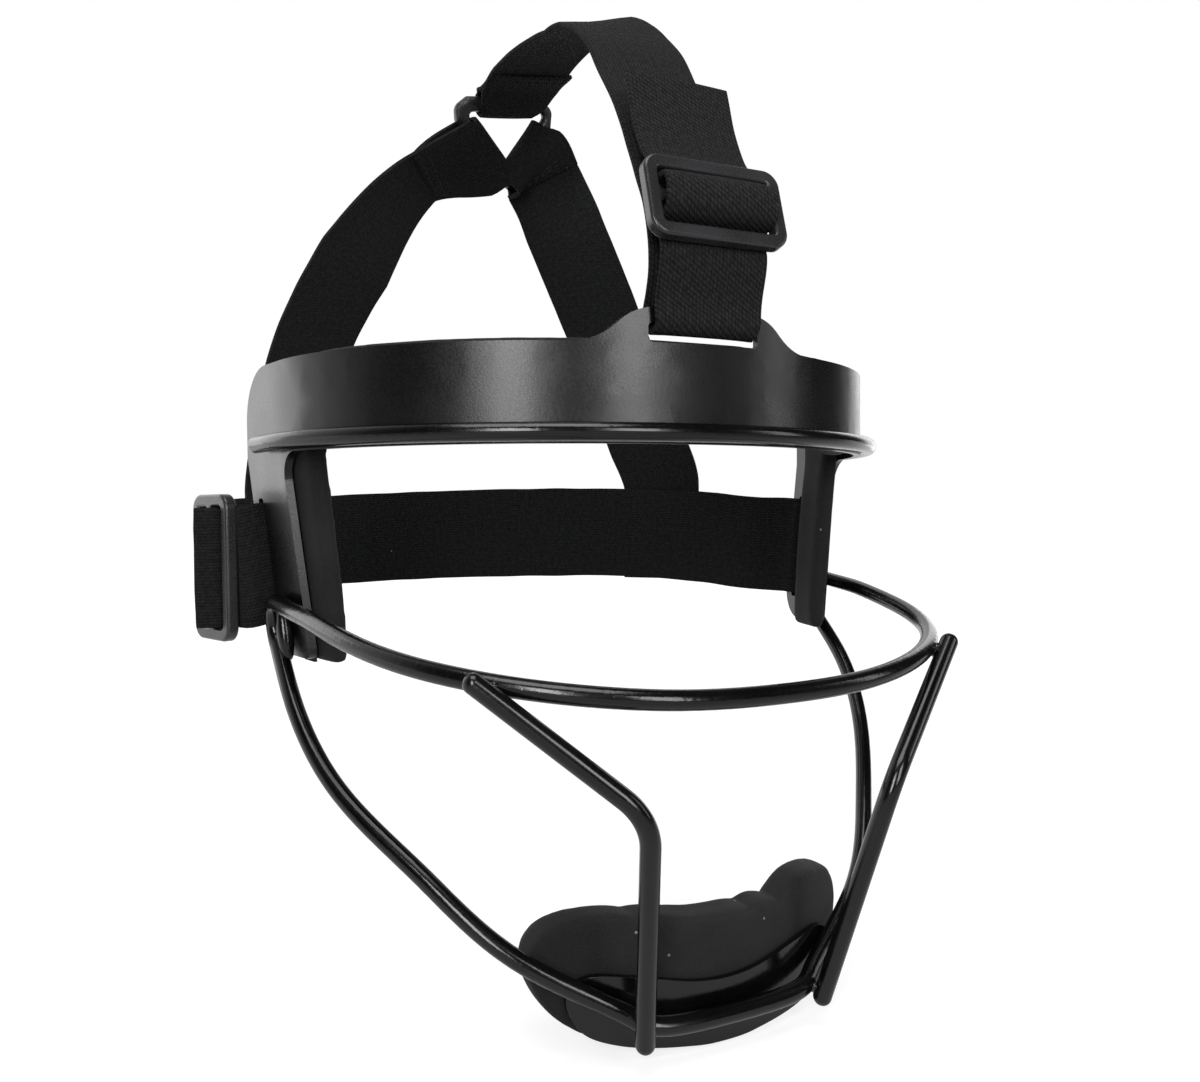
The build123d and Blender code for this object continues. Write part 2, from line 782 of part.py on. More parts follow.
# The crown strap's free end: up outside the tab, through the slider and on
top_loop = [tab_points[0] + Vector(0, 0, 2 * soft_gap)]
top_loop += [Vector(0, tab_points[0].Y, tab_top + soft_gap)]
top_loop += threaded(top_place, top_bulge_share)
top_tail_shares = [(-0.755, 0.700), (-0.710, 0.790), (-0.670, 0.925)]
top_loop += [Vector(0, y * harness_reach, z * harness_reach) for y, z in top_tail_shares]
top_strap_loop = webbing(top_loop, [level_way] * len(top_loop), crown_webbing_width)
save(top_strap_loop, "top_strap_loop")

# Back strap: sewn round the left leg's rear strip, round the head, and out through the right leg's slot
strip_reach = rear_reach - leg_rear_strip
leg_fold_radius = plate_thickness / 2 + 2 * soft_gap + half_webbing
fold_reach = strip_reach + half_webbing


def leg_across(side):
    return (leg_point(side, 0, 0, 0) - leg_point(side, 0, leg_drop, 0)).normalized()


back_shares = [
    (0.800, 0.205, -0.318),
    (0.705, 0.310, -0.300),
    (0.440, 0.615, -0.280),
    (0.300, 0.680, -0.278),
    (0.150, 0.740, -0.278),
    (-0.020, 0.830, -0.280),
    (-0.200, 0.930, -0.285),
    (-0.400, 0.990, -0.292),
    (-0.600, 1.005, -0.300),
    (-0.920, 0.860, -0.310),
    (-0.990, 0.770, -0.315),
    (-1.042, 0.620, -0.322),
    (-1.053, 0.470, -0.330),
    (-1.024, 0.360, -0.335),
    (-0.985, 0.240, -0.335),
]
back_points = [Vector(x, y, z) * harness_reach for x, y, z in back_shares]
upright = Vector(0, 0, 1)


def leg_arc(side, angles):
    """Points round a leg's rear strip, from angles measured at its edge in the slot."""
    turns = [(cos(radians(angle)), sin(radians(angle))) for angle in angles]
    return [
        leg_point(side, fold_reach - leg_fold_radius * back, leg_slot_drop, leg_fold_radius * out)
        for back, out in turns
    ]


left_turn = leg_arc(1, (90, 60, 30, 0, -30, -60, -90))
right_arc = leg_arc(-1, (-90, -60, -30, 0))
tail_way = (back_points[1] - back_points[0]).normalized()
tail_out = Vector(-tail_way.Y, tail_way.X, 0)
if tail_out.X < 0:
    tail_out = tail_out * -1
tail_seat = back_points[0] + tail_out * (webbing_thickness + seat_gap)
tail_points = [
    tail_seat + tail_way * (sewn_length * back_tail_sewn_share),
    tail_seat,
    leg_point(1, rear_reach + 3 * half_webbing, leg_slot_drop, 0),
    leg_point(1, rear_reach + soft_gap, leg_slot_drop, leg_fold_radius),
]
right_turn = [
    leg_point(-1, rear_reach, leg_slot_drop, -leg_fold_radius),
    *right_arc,
    leg_point(-1, fold_reach - leg_fold_radius, leg_slot_drop, leg_fold_radius),
]
all_back = tail_points + left_turn + back_points + right_turn
back_across = [upright, upright] + [leg_across(1)] * (2 + len(left_turn))
back_across += [upright] * len(back_points) + [leg_across(-1)] * len(right_turn)
back_strap = webbing(all_back, back_across, back_webbing_width)
save(back_strap, "back_strap")

# The back strap's free end: out of the slot, through the slider and on
threaded_back = threaded(back_place, back_bulge_share)
slot_way = (right_turn[-1] - right_turn[-2]).normalized()
back_loop = [right_turn[-1] + slot_way * (2 * soft_gap), right_turn[-1] + slot_way * webbing_thickness]
back_loop += [threaded_back[0] + back_way * -1 * half_webbing + Vector(4 * half_webbing, -half_webbing, 0)]
back_loop += threaded_back
back_tail_shares = [(-1.048, 0.365), (-1.072, 0.470)]
back_loop += [Vector(x * harness_reach, y * harness_reach, -back_slider_drop) for x, y in back_tail_shares]
loop_across = [leg_across(-1)] * 2 + [upright] * (len(back_loop) - 2)
back_strap_loop = webbing(back_loop, loop_across, back_webbing_width)
save(back_strap_loop, "back_strap_loop")


# Rear straps: folded round the ring's slanting bars and sewn to the outside of the back strap
def rear_strap(side, bar_share, station_shares, low_start, low_end):
    """One arm from the ring down to the back strap between two of its points."""
    corner = ring_place.from_local_coords(Vector(side * ring_half_width, 0, 0))
    apex = ring_place.from_local_coords(Vector(0, ring_depth, 0))
    middle = corner + (apex - corner) * bar_share
    bar = (apex - corner).normalized()
    away = ring_out.cross(bar)
    if away.X * side < 0:
        away = away * -1
    rear = ring_out if ring_out.Y > 0 else ring_out * -1
    seam = (low_end - low_start).normalized()
    outward = Vector(-seam.Y, seam.X, 0)
    if outward.Y < 0:
        outward = outward * -1
    low_middle = (low_start + low_end) / 2 + outward * (webbing_thickness + soft_gap)
    half_back = back_webbing_width / 2
    fold_run = fold_run_share * side_fold_radius
    points = [middle + away * (fold_run + sewn_length * rear_tail_sewn_share) - rear * layer]
    points += [middle + away * fold_run - rear * layer]
    points += [middle + away * side_fold_radius - rear * (side_fold_radius * fold_pinch_share)]
    points += turn(middle, rear * -1, away * -1, side_fold_radius, 0, 180, 6)
    points += [middle + away * side_fold_radius + rear * (side_fold_radius * fold_pinch_share)]
    points += [middle + away * fold_run + rear * layer]
    stations = [Vector(x, y, z) * harness_reach for x, y, z in station_shares]
    points += stations
    points += [low_middle + upright * (half_back + 2 * webbing_thickness)]
    points += [low_middle + upright * (half_back - soft_gap)]
    points += [low_middle - upright * (half_back - soft_gap)]
    low_across = seam if seam.dot(bar) > 0 else seam * -1
    fold_count = len(points) - len(stations) - 3
    across = [bar] * fold_count
    twist_shares = [(step + 1) / (len(stations) + 1) for step in range(len(stations))]
    across += [(bar + (low_across - bar) * share).normalized() for share in twist_shares]
    across += [low_across] * 3
    narrow = side_fold_width / crown_webbing_width
    shares = [1, 1, (1 + narrow) / 2] + [narrow] * 7 + [(1 + narrow) / 2, 1]
    shares += [1] * (len(points) - len(shares))
    return webbing(points, across, crown_webbing_width, shares)


right_shares = [(-0.34, 0.69, 0.975), (-0.525, 0.75, 0.72), (-0.68, 0.84, 0.39), (-0.75, 0.92, 0.05)]
left_shares = [(0.29, 0.64, 0.83), (0.43, 0.606, 0.48), (0.55, 0.527, 0.08)]
rear_strap_right = rear_strap(-1, right_bar_share, right_shares, back_points[9], back_points[8])
rear_strap_left = rear_strap(1, left_bar_share, left_shares, back_points[1], back_points[2])
save(rear_strap_right, "rear_strap_right")
save(rear_strap_left, "rear_strap_left")
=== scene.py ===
# %% [markdown]
# # Softball fielder's face guard
# A pressed band over the forehead carries round wire in front of the face, foam pads inside, and an elastic
# harness over and round the head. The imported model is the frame: its metal keeps its place, and this script
# gives each piece its real surface, and makes the soft pieces anew on the places of their plain solids.

# %% Load the frame
from math import ceil, cos, degrees, pi, radians, sin

import bmesh
import bpy
from mathutils import Matrix, Vector, geometry, noise


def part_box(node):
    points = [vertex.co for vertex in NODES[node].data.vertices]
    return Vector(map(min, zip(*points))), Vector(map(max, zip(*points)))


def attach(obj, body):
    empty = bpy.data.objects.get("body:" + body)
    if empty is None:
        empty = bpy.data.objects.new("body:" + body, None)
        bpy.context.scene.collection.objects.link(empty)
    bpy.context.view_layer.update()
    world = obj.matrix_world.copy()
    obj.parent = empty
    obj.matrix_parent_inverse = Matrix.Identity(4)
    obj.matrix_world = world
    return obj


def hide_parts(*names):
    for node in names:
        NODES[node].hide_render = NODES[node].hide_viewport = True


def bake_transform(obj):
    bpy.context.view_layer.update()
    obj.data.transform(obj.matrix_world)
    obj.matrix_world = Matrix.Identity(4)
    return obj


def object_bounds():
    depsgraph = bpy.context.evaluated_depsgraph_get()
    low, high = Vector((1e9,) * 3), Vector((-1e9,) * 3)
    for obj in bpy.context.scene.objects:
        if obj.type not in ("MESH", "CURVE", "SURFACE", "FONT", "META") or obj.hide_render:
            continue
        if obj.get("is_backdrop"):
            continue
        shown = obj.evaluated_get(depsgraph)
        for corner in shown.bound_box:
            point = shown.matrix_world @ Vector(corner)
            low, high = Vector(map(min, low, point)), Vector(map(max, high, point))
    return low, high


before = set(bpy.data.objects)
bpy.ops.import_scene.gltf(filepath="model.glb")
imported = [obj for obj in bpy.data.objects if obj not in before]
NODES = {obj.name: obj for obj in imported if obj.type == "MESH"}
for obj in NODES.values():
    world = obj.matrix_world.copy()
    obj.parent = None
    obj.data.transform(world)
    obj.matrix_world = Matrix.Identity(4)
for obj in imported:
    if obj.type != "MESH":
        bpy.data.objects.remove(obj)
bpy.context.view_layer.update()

MM = 0.001

# %% [markdown]
# ## The camera
# It stands where the photographer stood: a forearm's length away, to the wearer's right and just below the
# band, turned 26 degrees across. A lens of 30 mm on a 36 mm frame gives the same perspective. A long lens
# further away would flatten the ellipse of the brow wire.

# %% Camera
EYE = Vector((-135.2, -297.1, -18.2)) * MM
YAW, PITCH, ROLL = radians(25.9), radians(-1.9), radians(-0.5)
PHOTO_WIDTH = 1200
FOCAL_PIXELS = 1008.3
SENSOR_WIDTH = 36
NEAREST_SEEN = 10 * MM

forward = Vector((sin(YAW) * cos(PITCH), cos(YAW) * cos(PITCH), sin(PITCH)))
level = Vector((cos(YAW), -sin(YAW), 0))
upward = level.cross(forward)
side_way = level * cos(ROLL) + upward * sin(ROLL)
top_way = upward * cos(ROLL) - level * sin(ROLL)

camera_data = bpy.data.cameras.new("photo_camera")
camera_data.sensor_fit = "HORIZONTAL"
camera_data.sensor_width = SENSOR_WIDTH
camera_data.lens = FOCAL_PIXELS / PHOTO_WIDTH * SENSOR_WIDTH
camera_data.clip_start = NEAREST_SEEN
camera = bpy.data.objects.new("photo_camera", camera_data)
bpy.context.scene.collection.objects.link(camera)
turn = Matrix((side_way, top_way, -forward)).transposed().to_4x4()
camera.matrix_world = Matrix.Translation(EYE) @ turn
bpy.context.scene.camera = camera
bpy.context.scene.view_settings.view_transform = "Standard"
print("camera lens:", round(camera_data.lens, 2), "mm")

# %% [markdown]
# ## Nodes by name
# A material is a small graph. These helpers make a material or a node group and join sockets, so that each
# finish below reads as a list of what feeds what.


# %% Helpers for materials
def plain_material(name, roughness, specular=0.5):
    """A material with its surface shader; numbers that don't change stay on the shader's own sockets."""
    material = bpy.data.materials.new(name)
    material.use_nodes = True
    shader = material.node_tree.nodes["Principled BSDF"]
    shader.inputs["Roughness"].default_value = roughness
    shader.inputs["Specular IOR Level"].default_value = specular
    return material, material.node_tree, shader


def add_node(tree, kind, values=None, **settings):
    node = tree.nodes.new(kind)
    for key, value in settings.items():
        setattr(node, key, value)
    for key, value in (values or {}).items():
        node.inputs[key].default_value = value
    return node


def maths(tree, operation, first, second=None, clamp=False):
    """One Math node; each term is a socket or a number."""
    node = add_node(tree, "ShaderNodeMath", operation=operation, use_clamp=clamp)
    for index, term in enumerate((first, second)):
        if term is None:
            continue
        if hasattr(term, "is_linked"):
            tree.links.new(term, node.inputs[index])
        else:
            node.inputs[index].default_value = term
    return node.outputs[0]


# %% Helpers for sums and groups
def plus(tree, first, second, clamp=False):
    return maths(tree, "ADD", first, second, clamp)


def times(tree, first, second):
    return maths(tree, "MULTIPLY", first, second)


def span(tree, value, low, high, to_low, to_high):
    """A Map Range node with smooth ends."""
    node = add_node(tree, "ShaderNodeMapRange", interpolation_type="SMOOTHSTEP")
    tree.links.new(value, node.inputs["Value"])
    for key, number in zip(("From Min", "From Max", "To Min", "To Max"), (low, high, to_low, to_high)):
        node.inputs[key].default_value = number
    return node.outputs[0]


def open_group(name, inputs, outputs):
    """A shader node group with named sockets; gives the tree, its entry and its exit."""
    tree = bpy.data.node_groups.new(name, "ShaderNodeTree")
    for label, kind in inputs:
        tree.interface.new_socket(label, in_out="INPUT", socket_type=kind)
    for label, kind in outputs:
        tree.interface.new_socket(label, in_out="OUTPUT", socket_type=kind)
    return tree, tree.nodes.new("NodeGroupInput"), tree.nodes.new("NodeGroupOutput")


def noise_value(tree, vector, scale, detail=2.0):
    node = add_node(tree, "ShaderNodeTexNoise", {"Scale": scale, "Detail": detail})
    tree.links.new(vector, node.inputs["Vector"])
    return node.outputs["Fac"]


VALUE, VECTOR = "NodeSocketFloat", "NodeSocketVector"
SOFT_DETAIL, FINE_DETAIL = 2.0, 3.0

# %% [markdown]
# ## What several finishes share
# Powder coat has a fine pebble and a slow unevenness. Elastic webbing has ribs along its length, crossed by
# yarns that step by half a stitch from one rib to the next; its tone is darker in the grooves between yarns,
# which is painted shade, over the yarn's own heather. Black foam and webbing also collect lint. Each is a
# group, built once, that puts out a height or a mask. Scales are in waves or cells per metre.

# %% Group: coat grain
UNEVEN_SCALE = 45.0
UNEVEN_SHARE, GRAIN_SHARE = 0.6, 0.4
GRAIN_ROUGHNESS = 0.6
DARKEST_AT, LIGHTEST_AT = 0.35, 0.65

coat_grain, enter, leave = open_group(
    "coat_grain",
    [("Vector", VECTOR), ("Grains per Metre", VALUE)],
    [("Height", VALUE), ("Tone", VALUE)],
)
grain = add_node(coat_grain, "ShaderNodeTexNoise", {"Detail": SOFT_DETAIL, "Roughness": GRAIN_ROUGHNESS})
coat_grain.links.new(enter.outputs["Vector"], grain.inputs["Vector"])
coat_grain.links.new(enter.outputs["Grains per Metre"], grain.inputs["Scale"])
coat_grain.links.new(grain.outputs["Fac"], leave.inputs["Height"])
slow = noise_value(coat_grain, enter.outputs["Vector"], UNEVEN_SCALE, FINE_DETAIL)
slow = times(coat_grain, slow, UNEVEN_SHARE)
mixed = plus(coat_grain, slow, times(coat_grain, grain.outputs["Fac"], GRAIN_SHARE))
coat_grain.links.new(span(coat_grain, mixed, DARKEST_AT, LIGHTEST_AT, 0.0, 1.0), leave.inputs["Tone"])
print("group:", coat_grain.name)

# %% Group: elastic weave
WANDER_SCALE, WANDER_IN_RIBS = 260.0, 0.5
HALF_STITCH = 0.5
FUZZ_SCALE, FUZZ_SHARE = 3200.0, 0.5
HEATHER_SCALE = 700.0
HEATHER_LOW, HEATHER_HIGH, DARKEST_HEATHER = 0.3, 0.7, 0.45
# How much of the weave's height goes into painted shade, and how dark the painted grooves get.
WEAVE_IN_PAINTED_SHADE, DARKEST_PAINTED_GROOVE = 0.6, 0.4

elastic_weave, enter, leave = open_group(
    "elastic_weave",
    [("Vector", VECTOR), ("Rib", VALUE), ("Yarn", VALUE), ("Slant", VALUE)],
    [("Height", VALUE), ("Tone", VALUE)],
)
place = enter.outputs["Vector"]
parts = add_node(elastic_weave, "ShaderNodeSeparateXYZ")
elastic_weave.links.new(place, parts.inputs["Vector"])


def bulges(position):
    """Round backs, one for each whole step of a position."""
    return maths(elastic_weave, "ABSOLUTE", maths(elastic_weave, "SINE", times(elastic_weave, position, pi)))


wander = times(elastic_weave, noise_value(elastic_weave, place, WANDER_SCALE), WANDER_IN_RIBS)
across = maths(elastic_weave, "DIVIDE", parts.outputs["X"], enter.outputs["Rib"])
across = plus(elastic_weave, across, wander)
along = maths(elastic_weave, "DIVIDE", parts.outputs["Y"], enter.outputs["Yarn"])
step_over = times(elastic_weave, maths(elastic_weave, "FLOOR", across), HALF_STITCH)
slanted = times(elastic_weave, maths(elastic_weave, "FRACT", across), enter.outputs["Slant"])
along = plus(elastic_weave, plus(elastic_weave, along, step_over), slanted)
weave = maths(elastic_weave, "SQRT", times(elastic_weave, bulges(across), bulges(along)))
fuzz = times(elastic_weave, noise_value(elastic_weave, place, FUZZ_SCALE), FUZZ_SHARE)
elastic_weave.links.new(plus(elastic_weave, weave, fuzz), leave.inputs["Height"])
heather = noise_value(elastic_weave, place, HEATHER_SCALE, FINE_DETAIL)
heather = span(elastic_weave, heather, HEATHER_LOW, HEATHER_HIGH, DARKEST_HEATHER, 1.0)
# Tone that follows the weave's height is painted shade: the grooves between yarns are darker. The heather is
# the yarn's own mottle.
groove_shade_tone = plus(elastic_weave, times(elastic_weave, weave, WEAVE_IN_PAINTED_SHADE), DARKEST_PAINTED_GROOVE)
elastic_weave.links.new(times(elastic_weave, heather, groove_shade_tone), leave.inputs["Tone"])
print("group:", elastic_weave.name)

# %% Group: lint
LINT_SCALE, PATCH_SCALE = 170.0, 60.0
PATCH_STARTS, PATCH_FULL = 0.5, 0.6

lint, enter, leave = open_group("lint", [("Vector", VECTOR), ("Speck Size", VALUE)], [("Mask", VALUE)])
specks = add_node(lint, "ShaderNodeTexVoronoi", {"Scale": LINT_SCALE})
lint.links.new(enter.outputs["Vector"], specks.inputs["Vector"])
near = maths(lint, "LESS_THAN", specks.outputs["Distance"], enter.outputs["Speck Size"])
patches = noise_value(lint, enter.outputs["Vector"], PATCH_SCALE)
patches = span(lint, patches, PATCH_STARTS, PATCH_FULL, 0.0, 1.0)
lint.links.new(times(lint, near, patches), leave.inputs["Mask"])
print("group:", lint.name)


# %% [markdown]
# ## The finishes
# The pressed band has a satin coat and the wire a glossier one. Both are near black, so what shows is the
# light that they reflect: the grain breaks it up a little. The soft materials scatter light and have sheen.


# %% Helpers that place a group
def place_group(tree, group, vector, values):
    """One of the groups above in a material's tree, fed with a place and with its named values."""
    node = add_node(tree, "ShaderNodeGroup", node_tree=group)
    tree.links.new(vector, node.inputs["Vector"])
    for key, value in values.items():
        node.inputs[key].default_value = value
    return node


def two_tones(tree, shader, mask, dark, light):
    """The surface's colour, between two greys."""
    mix = add_node(tree, "ShaderNodeMix", data_type="RGBA")
    mix.inputs["A"].default_value = (*dark, 1)
    mix.inputs["B"].default_value = (*light, 1)
    tree.links.new(mask, mix.inputs["Factor"])
    tree.links.new(mix.outputs["Result"], shader.inputs["Base Color"])
    return mix.outputs["Result"]


def add_lint(tree, shader, colour, vector, size, grey):
    """Pale specks over the surface's colour; their size is a share of the cell that each sits in."""
    fluff = place_group(tree, lint, vector, {"Speck Size": size})
    speck = add_node(tree, "ShaderNodeMix", data_type="RGBA")
    speck.inputs["B"].default_value = (*grey, 1)
    tree.links.new(fluff.outputs["Mask"], speck.inputs["Factor"])
    tree.links.new(colour, speck.inputs["A"])
    tree.links.new(speck.outputs["Result"], shader.inputs["Base Color"])


def add_sheen(shader, weight, roughness):
    shader.inputs["Sheen Weight"].default_value = weight
    shader.inputs["Sheen Roughness"].default_value = roughness


def bump_from(tree, shader, height, distance, strength):
    bump = add_node(tree, "ShaderNodeBump", {"Distance": distance, "Strength": strength})
    tree.links.new(height, bump.inputs["Height"])
    tree.links.new(bump.outputs["Normal"], shader.inputs["Normal"])


def object_place(tree):
    return add_node(tree, "ShaderNodeTexCoord").outputs["Object"]


def uv_place(tree):
    return add_node(tree, "ShaderNodeUVMap", uv_map="cloth").outputs["UV"]


# %% Painted metal and moulded plastic
COAT_BUMP = 0.6
JET = (0.0015, 0.0015, 0.0015)
JET_WORN = (0.003, 0.003, 0.003)


def coated(name, dark, light, roughness, grains, depth):
    """Powder coat or moulded plastic: two close greys, a pebbled surface and a roughness that wanders."""
    material, tree, shader = plain_material(name, roughness[0])
    place = place_group(tree, coat_grain, object_place(tree), {"Grains per Metre": grains})
    two_tones(tree, shader, place.outputs["Tone"], dark, light)
    tree.links.new(span(tree, place.outputs["Tone"], 0.0, 1.0, *roughness), shader.inputs["Roughness"])
    bump_from(tree, shader, place.outputs["Height"], depth * MM, COAT_BUMP)
    return material


band_paint = coated("band_paint", JET, (0.004, 0.004, 0.004), (0.27, 0.32), grains=1500, depth=0.03)
wire_paint = coated("wire_paint", JET, JET_WORN, (0.16, 0.21), grains=1100, depth=0.015)
plate_paint = coated("plate_paint", JET, JET_WORN, (0.13, 0.17), grains=900, depth=0.02)
slider_plastic = coated(
    "slider_plastic", (0.015, 0.015, 0.016), (0.026, 0.026, 0.028), (0.26, 0.34), grains=2200, depth=0.04
)
ring_plastic = coated(
    "ring_plastic", (0.007, 0.007, 0.008), (0.012, 0.012, 0.013), (0.32, 0.42), grains=2200, depth=0.06
)
print("hard finishes:", [m.name for m in (band_paint, wire_paint, plate_paint, slider_plastic, ring_plastic)])

# %% Webbing
WEBBING_BUMP = 0.9
DYED_BLACK = (0.001, 0.001, 0.001)
WEBBING_LINT, WEBBING_LINT_SIZE = (0.16, 0.16, 0.165), 0.05


def webbing_material(name, light, rib, yarn, slant, depth):
    """Elastic: the weave follows the strap through its own UV map, which is in metres."""
    material, tree, shader = plain_material(name, roughness=0.9, specular=0.12)
    values = {"Rib": rib * MM, "Yarn": yarn * MM, "Slant": slant}
    place = place_group(tree, elastic_weave, uv_place(tree), values)
    # The webbing's colour holds painted shade in the grooves between yarns as well as the yarn's own heather.
    colour = two_tones(tree, shader, place.outputs["Tone"], DYED_BLACK, light)
    add_lint(tree, shader, colour, uv_place(tree), WEBBING_LINT_SIZE, WEBBING_LINT)
    bump_from(tree, shader, place.outputs["Height"], depth * MM, WEBBING_BUMP)
    add_sheen(shader, weight=0.02, roughness=0.5)
    return material


crown_elastic = webbing_material(
    "crown_elastic", (0.023, 0.0235, 0.025), rib=1.05, yarn=1.3, slant=0.6, depth=0.8
)
back_elastic = webbing_material(
    "back_elastic", (0.016, 0.0165, 0.018), rib=0.9, yarn=0.75, slant=0.35, depth=0.5
)

# %% Foam, tape and thread
FOAM_BUMP = 0.8
FOAM_LINT, FOAM_LINT_SIZE = (0.2, 0.2, 0.2), 0.06


def foam_material(name, dark, light, cells, depth):
    """Closed-cell foam with a thin fabric face: matt, finely grained, with some lint."""
    material, tree, shader = plain_material(name, roughness=0.82, specular=0.2)
    place = place_group(tree, coat_grain, object_place(tree), {"Grains per Metre": cells})
    colour = two_tones(tree, shader, place.outputs["Tone"], dark, light)
    add_lint(tree, shader, colour, object_place(tree), FOAM_LINT_SIZE, FOAM_LINT)
    bump_from(tree, shader, place.outputs["Height"], depth * MM, FOAM_BUMP)
    add_sheen(shader, weight=0.03, roughness=0.6)
    return material


pad_foam = foam_material("pad_foam", (0.007, 0.007, 0.008), (0.015, 0.015, 0.016), cells=2200, depth=0.18)
pad_tape = foam_material("pad_tape", (0.012, 0.012, 0.012), (0.02, 0.02, 0.021), cells=4000, depth=0.05)
thread = foam_material("thread", (0.006, 0.006, 0.007), (0.02, 0.02, 0.022), cells=5000, depth=0.1)
print("soft finishes:", [m.name for m in (crown_elastic, back_elastic, pad_foam, pad_tape, thread)])

# %% [markdown]
# ## Pieces
# A finished piece is an object at the origin with its place in its mesh, riding on one of the frame's bodies.

# %% Helpers for pieces
PRESSED_EDGE = 35
ROUND_EDGE = 80
EDGE_SEGMENTS = 3
SAME_PLACE = 0.002 * MM


def all_smooth(mesh):
    mesh.polygons.foreach_set("use_smooth", [True] * len(mesh.polygons))


def settle(name, mesh, material, body, nodes=(), sharp=PRESSED_EDGE):
    """Makes the object, gives it its finish and its body, and hides the plain nodes. Edges that turn by more
    than sharp, in degrees, stay sharp."""
    piece = bpy.data.objects.new(name, mesh)
    bpy.context.scene.collection.objects.link(piece)
    mesh.materials.clear()
    mesh.materials.append(material)
    all_smooth(mesh)
    mesh.set_sharp_from_angle(angle=radians(sharp))
    if body:
        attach(piece, body)
    if nodes:
        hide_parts(*nodes)
    print(f"{name}: {len(mesh.polygons)} faces")
    return piece


# %% Helpers for modifiers
def rounded_edge(piece, name, width, angle):
    """A Bevel on the edges that turn by more than an angle in degrees; its width is in millimetres."""
    bevel = piece.modifiers.new(name, "BEVEL")
    bevel.width = width * MM
    bevel.segments = EDGE_SEGMENTS
    bevel.limit_method = "ANGLE"
    bevel.angle_limit = radians(angle)


def even_light(piece):
    """Light that runs evenly over long triangles, up to the sharp edges."""
    piece.modifiers.new("even_light", "WEIGHTED_NORMAL").keep_sharp = True


def even_cells(piece, cell):
    """A Remesh that gives the piece cells of one size, in millimetres."""
    even = piece.modifiers.new("even_cells", "REMESH")
    even.mode = "VOXEL"
    even.voxel_size = cell * MM


def softened(piece, rounds):
    piece.modifiers.new("soften", "SMOOTH").iterations = rounds


def finished(piece):
    """Gives the piece the mesh that its modifiers make, and takes them off."""
    bpy.context.view_layer.update()
    depsgraph = bpy.context.evaluated_depsgraph_get()
    mesh = bpy.data.meshes.new_from_object(piece.evaluated_get(depsgraph))
    piece.modifiers.clear()
    piece.data = mesh
    return piece


# %% Helpers for meshes
def merged_copy(node):
    """A bmesh of a frame node's mesh with its loose triangles joined."""
    shape = bmesh.new()
    shape.from_mesh(NODES[node].data)
    bmesh.ops.remove_doubles(shape, verts=shape.verts, dist=SAME_PLACE)
    return shape


def to_mesh(shape, name):
    mesh = bpy.data.meshes.new(name)
    shape.to_mesh(mesh)
    shape.free()
    return mesh


# %% [markdown]
# ## Metal, plastic and tape that keep their solids
# The wires, the crown's slider and the tapes behind the pads have their true shape in the frame already, so
# they only take a finish.

# %% Finishes on the frame's own nodes
KEPT = {
    "brow_wire": wire_paint,
    "face_wire": wire_paint,
    "nose_wire_right": wire_paint,
    "nose_wire_left": wire_paint,
    "top_slider": slider_plastic,
    "brow_pad_tape": pad_tape,
    "side_pad_tape_right": pad_tape,
    "side_pad_tape_left": pad_tape,
    "chin_pad_tape": pad_tape,
}
for node, material in KEPT.items():
    NODES[node].data.materials.clear()
    NODES[node].data.materials.append(material)
print("kept nodes:", len(KEPT))

# %% [markdown]
# ## Pressed plates
# Powder coat runs off a sharp edge and leaves it round, and that round edge catches a thin line of light. A
# Bevel modifier on a merged copy of the solid does this; it only touches edges sharper than 40 degrees. Its
# faces are long triangles, so Weighted Normal makes the light run evenly over them.

# %% Brow plate and chin plate
BROW_EDGE, CHIN_EDGE = 0.35, 0.55
PLATE_CORNER = 40


def coated_plate(name, node, material, edge):
    plate = settle(name, to_mesh(merged_copy(node), name), material, "guard", [node])
    rounded_edge(plate, "coated_edge", edge, PLATE_CORNER)
    even_light(plate)


coated_plate("pressed_brow_plate", "brow_plate", band_paint, BROW_EDGE)
coated_plate("pressed_chin_plate", "chin_plate", plate_paint, CHIN_EDGE)

# %% [markdown]
# ## Moulded ring and turned adjuster
# The ring at the back is moulded with full, round corners. A copy of its solid is remeshed into even cells
# and smoothed, and what lies furthest from its middle is drawn in, so that its corners end round. The
# adjuster behind the right leg lies on webbing that flares outwards, so its frame is turned about its own
# middle, and its edges are rounded like those of any moulded frame.

# %% Ring
RING_CELL, RING_ROUNDS = 0.5, 18
RING_REACH = 20 * MM
DRAWN_IN_SHARE = 0.25

ring_mesh = to_mesh(merged_copy("rear_ring"), "ring_cells")
ring_cells = bpy.data.objects.new("ring_cells", ring_mesh)
bpy.context.scene.collection.objects.link(ring_cells)
even_cells(ring_cells, RING_CELL)
softened(ring_cells, RING_ROUNDS)
ring_mesh = finished(ring_cells).data
bpy.data.objects.remove(ring_cells)
low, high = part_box("rear_ring")
heart = (low + high) / 2
for vert in ring_mesh.vertices:
    away = vert.co - heart
    past = away.length - RING_REACH
    if past > 0:
        vert.co = heart + away * (RING_REACH + DRAWN_IN_SHARE * past) / away.length
settle("moulded_ring", ring_mesh, ring_plastic, "rear_ring", ["rear_ring"], sharp=ROUND_EDGE)

# %% Turned adjuster
FLARE = radians(25)
ADJUSTER_EDGE, ADJUSTER_CORNER = 0.5, 50

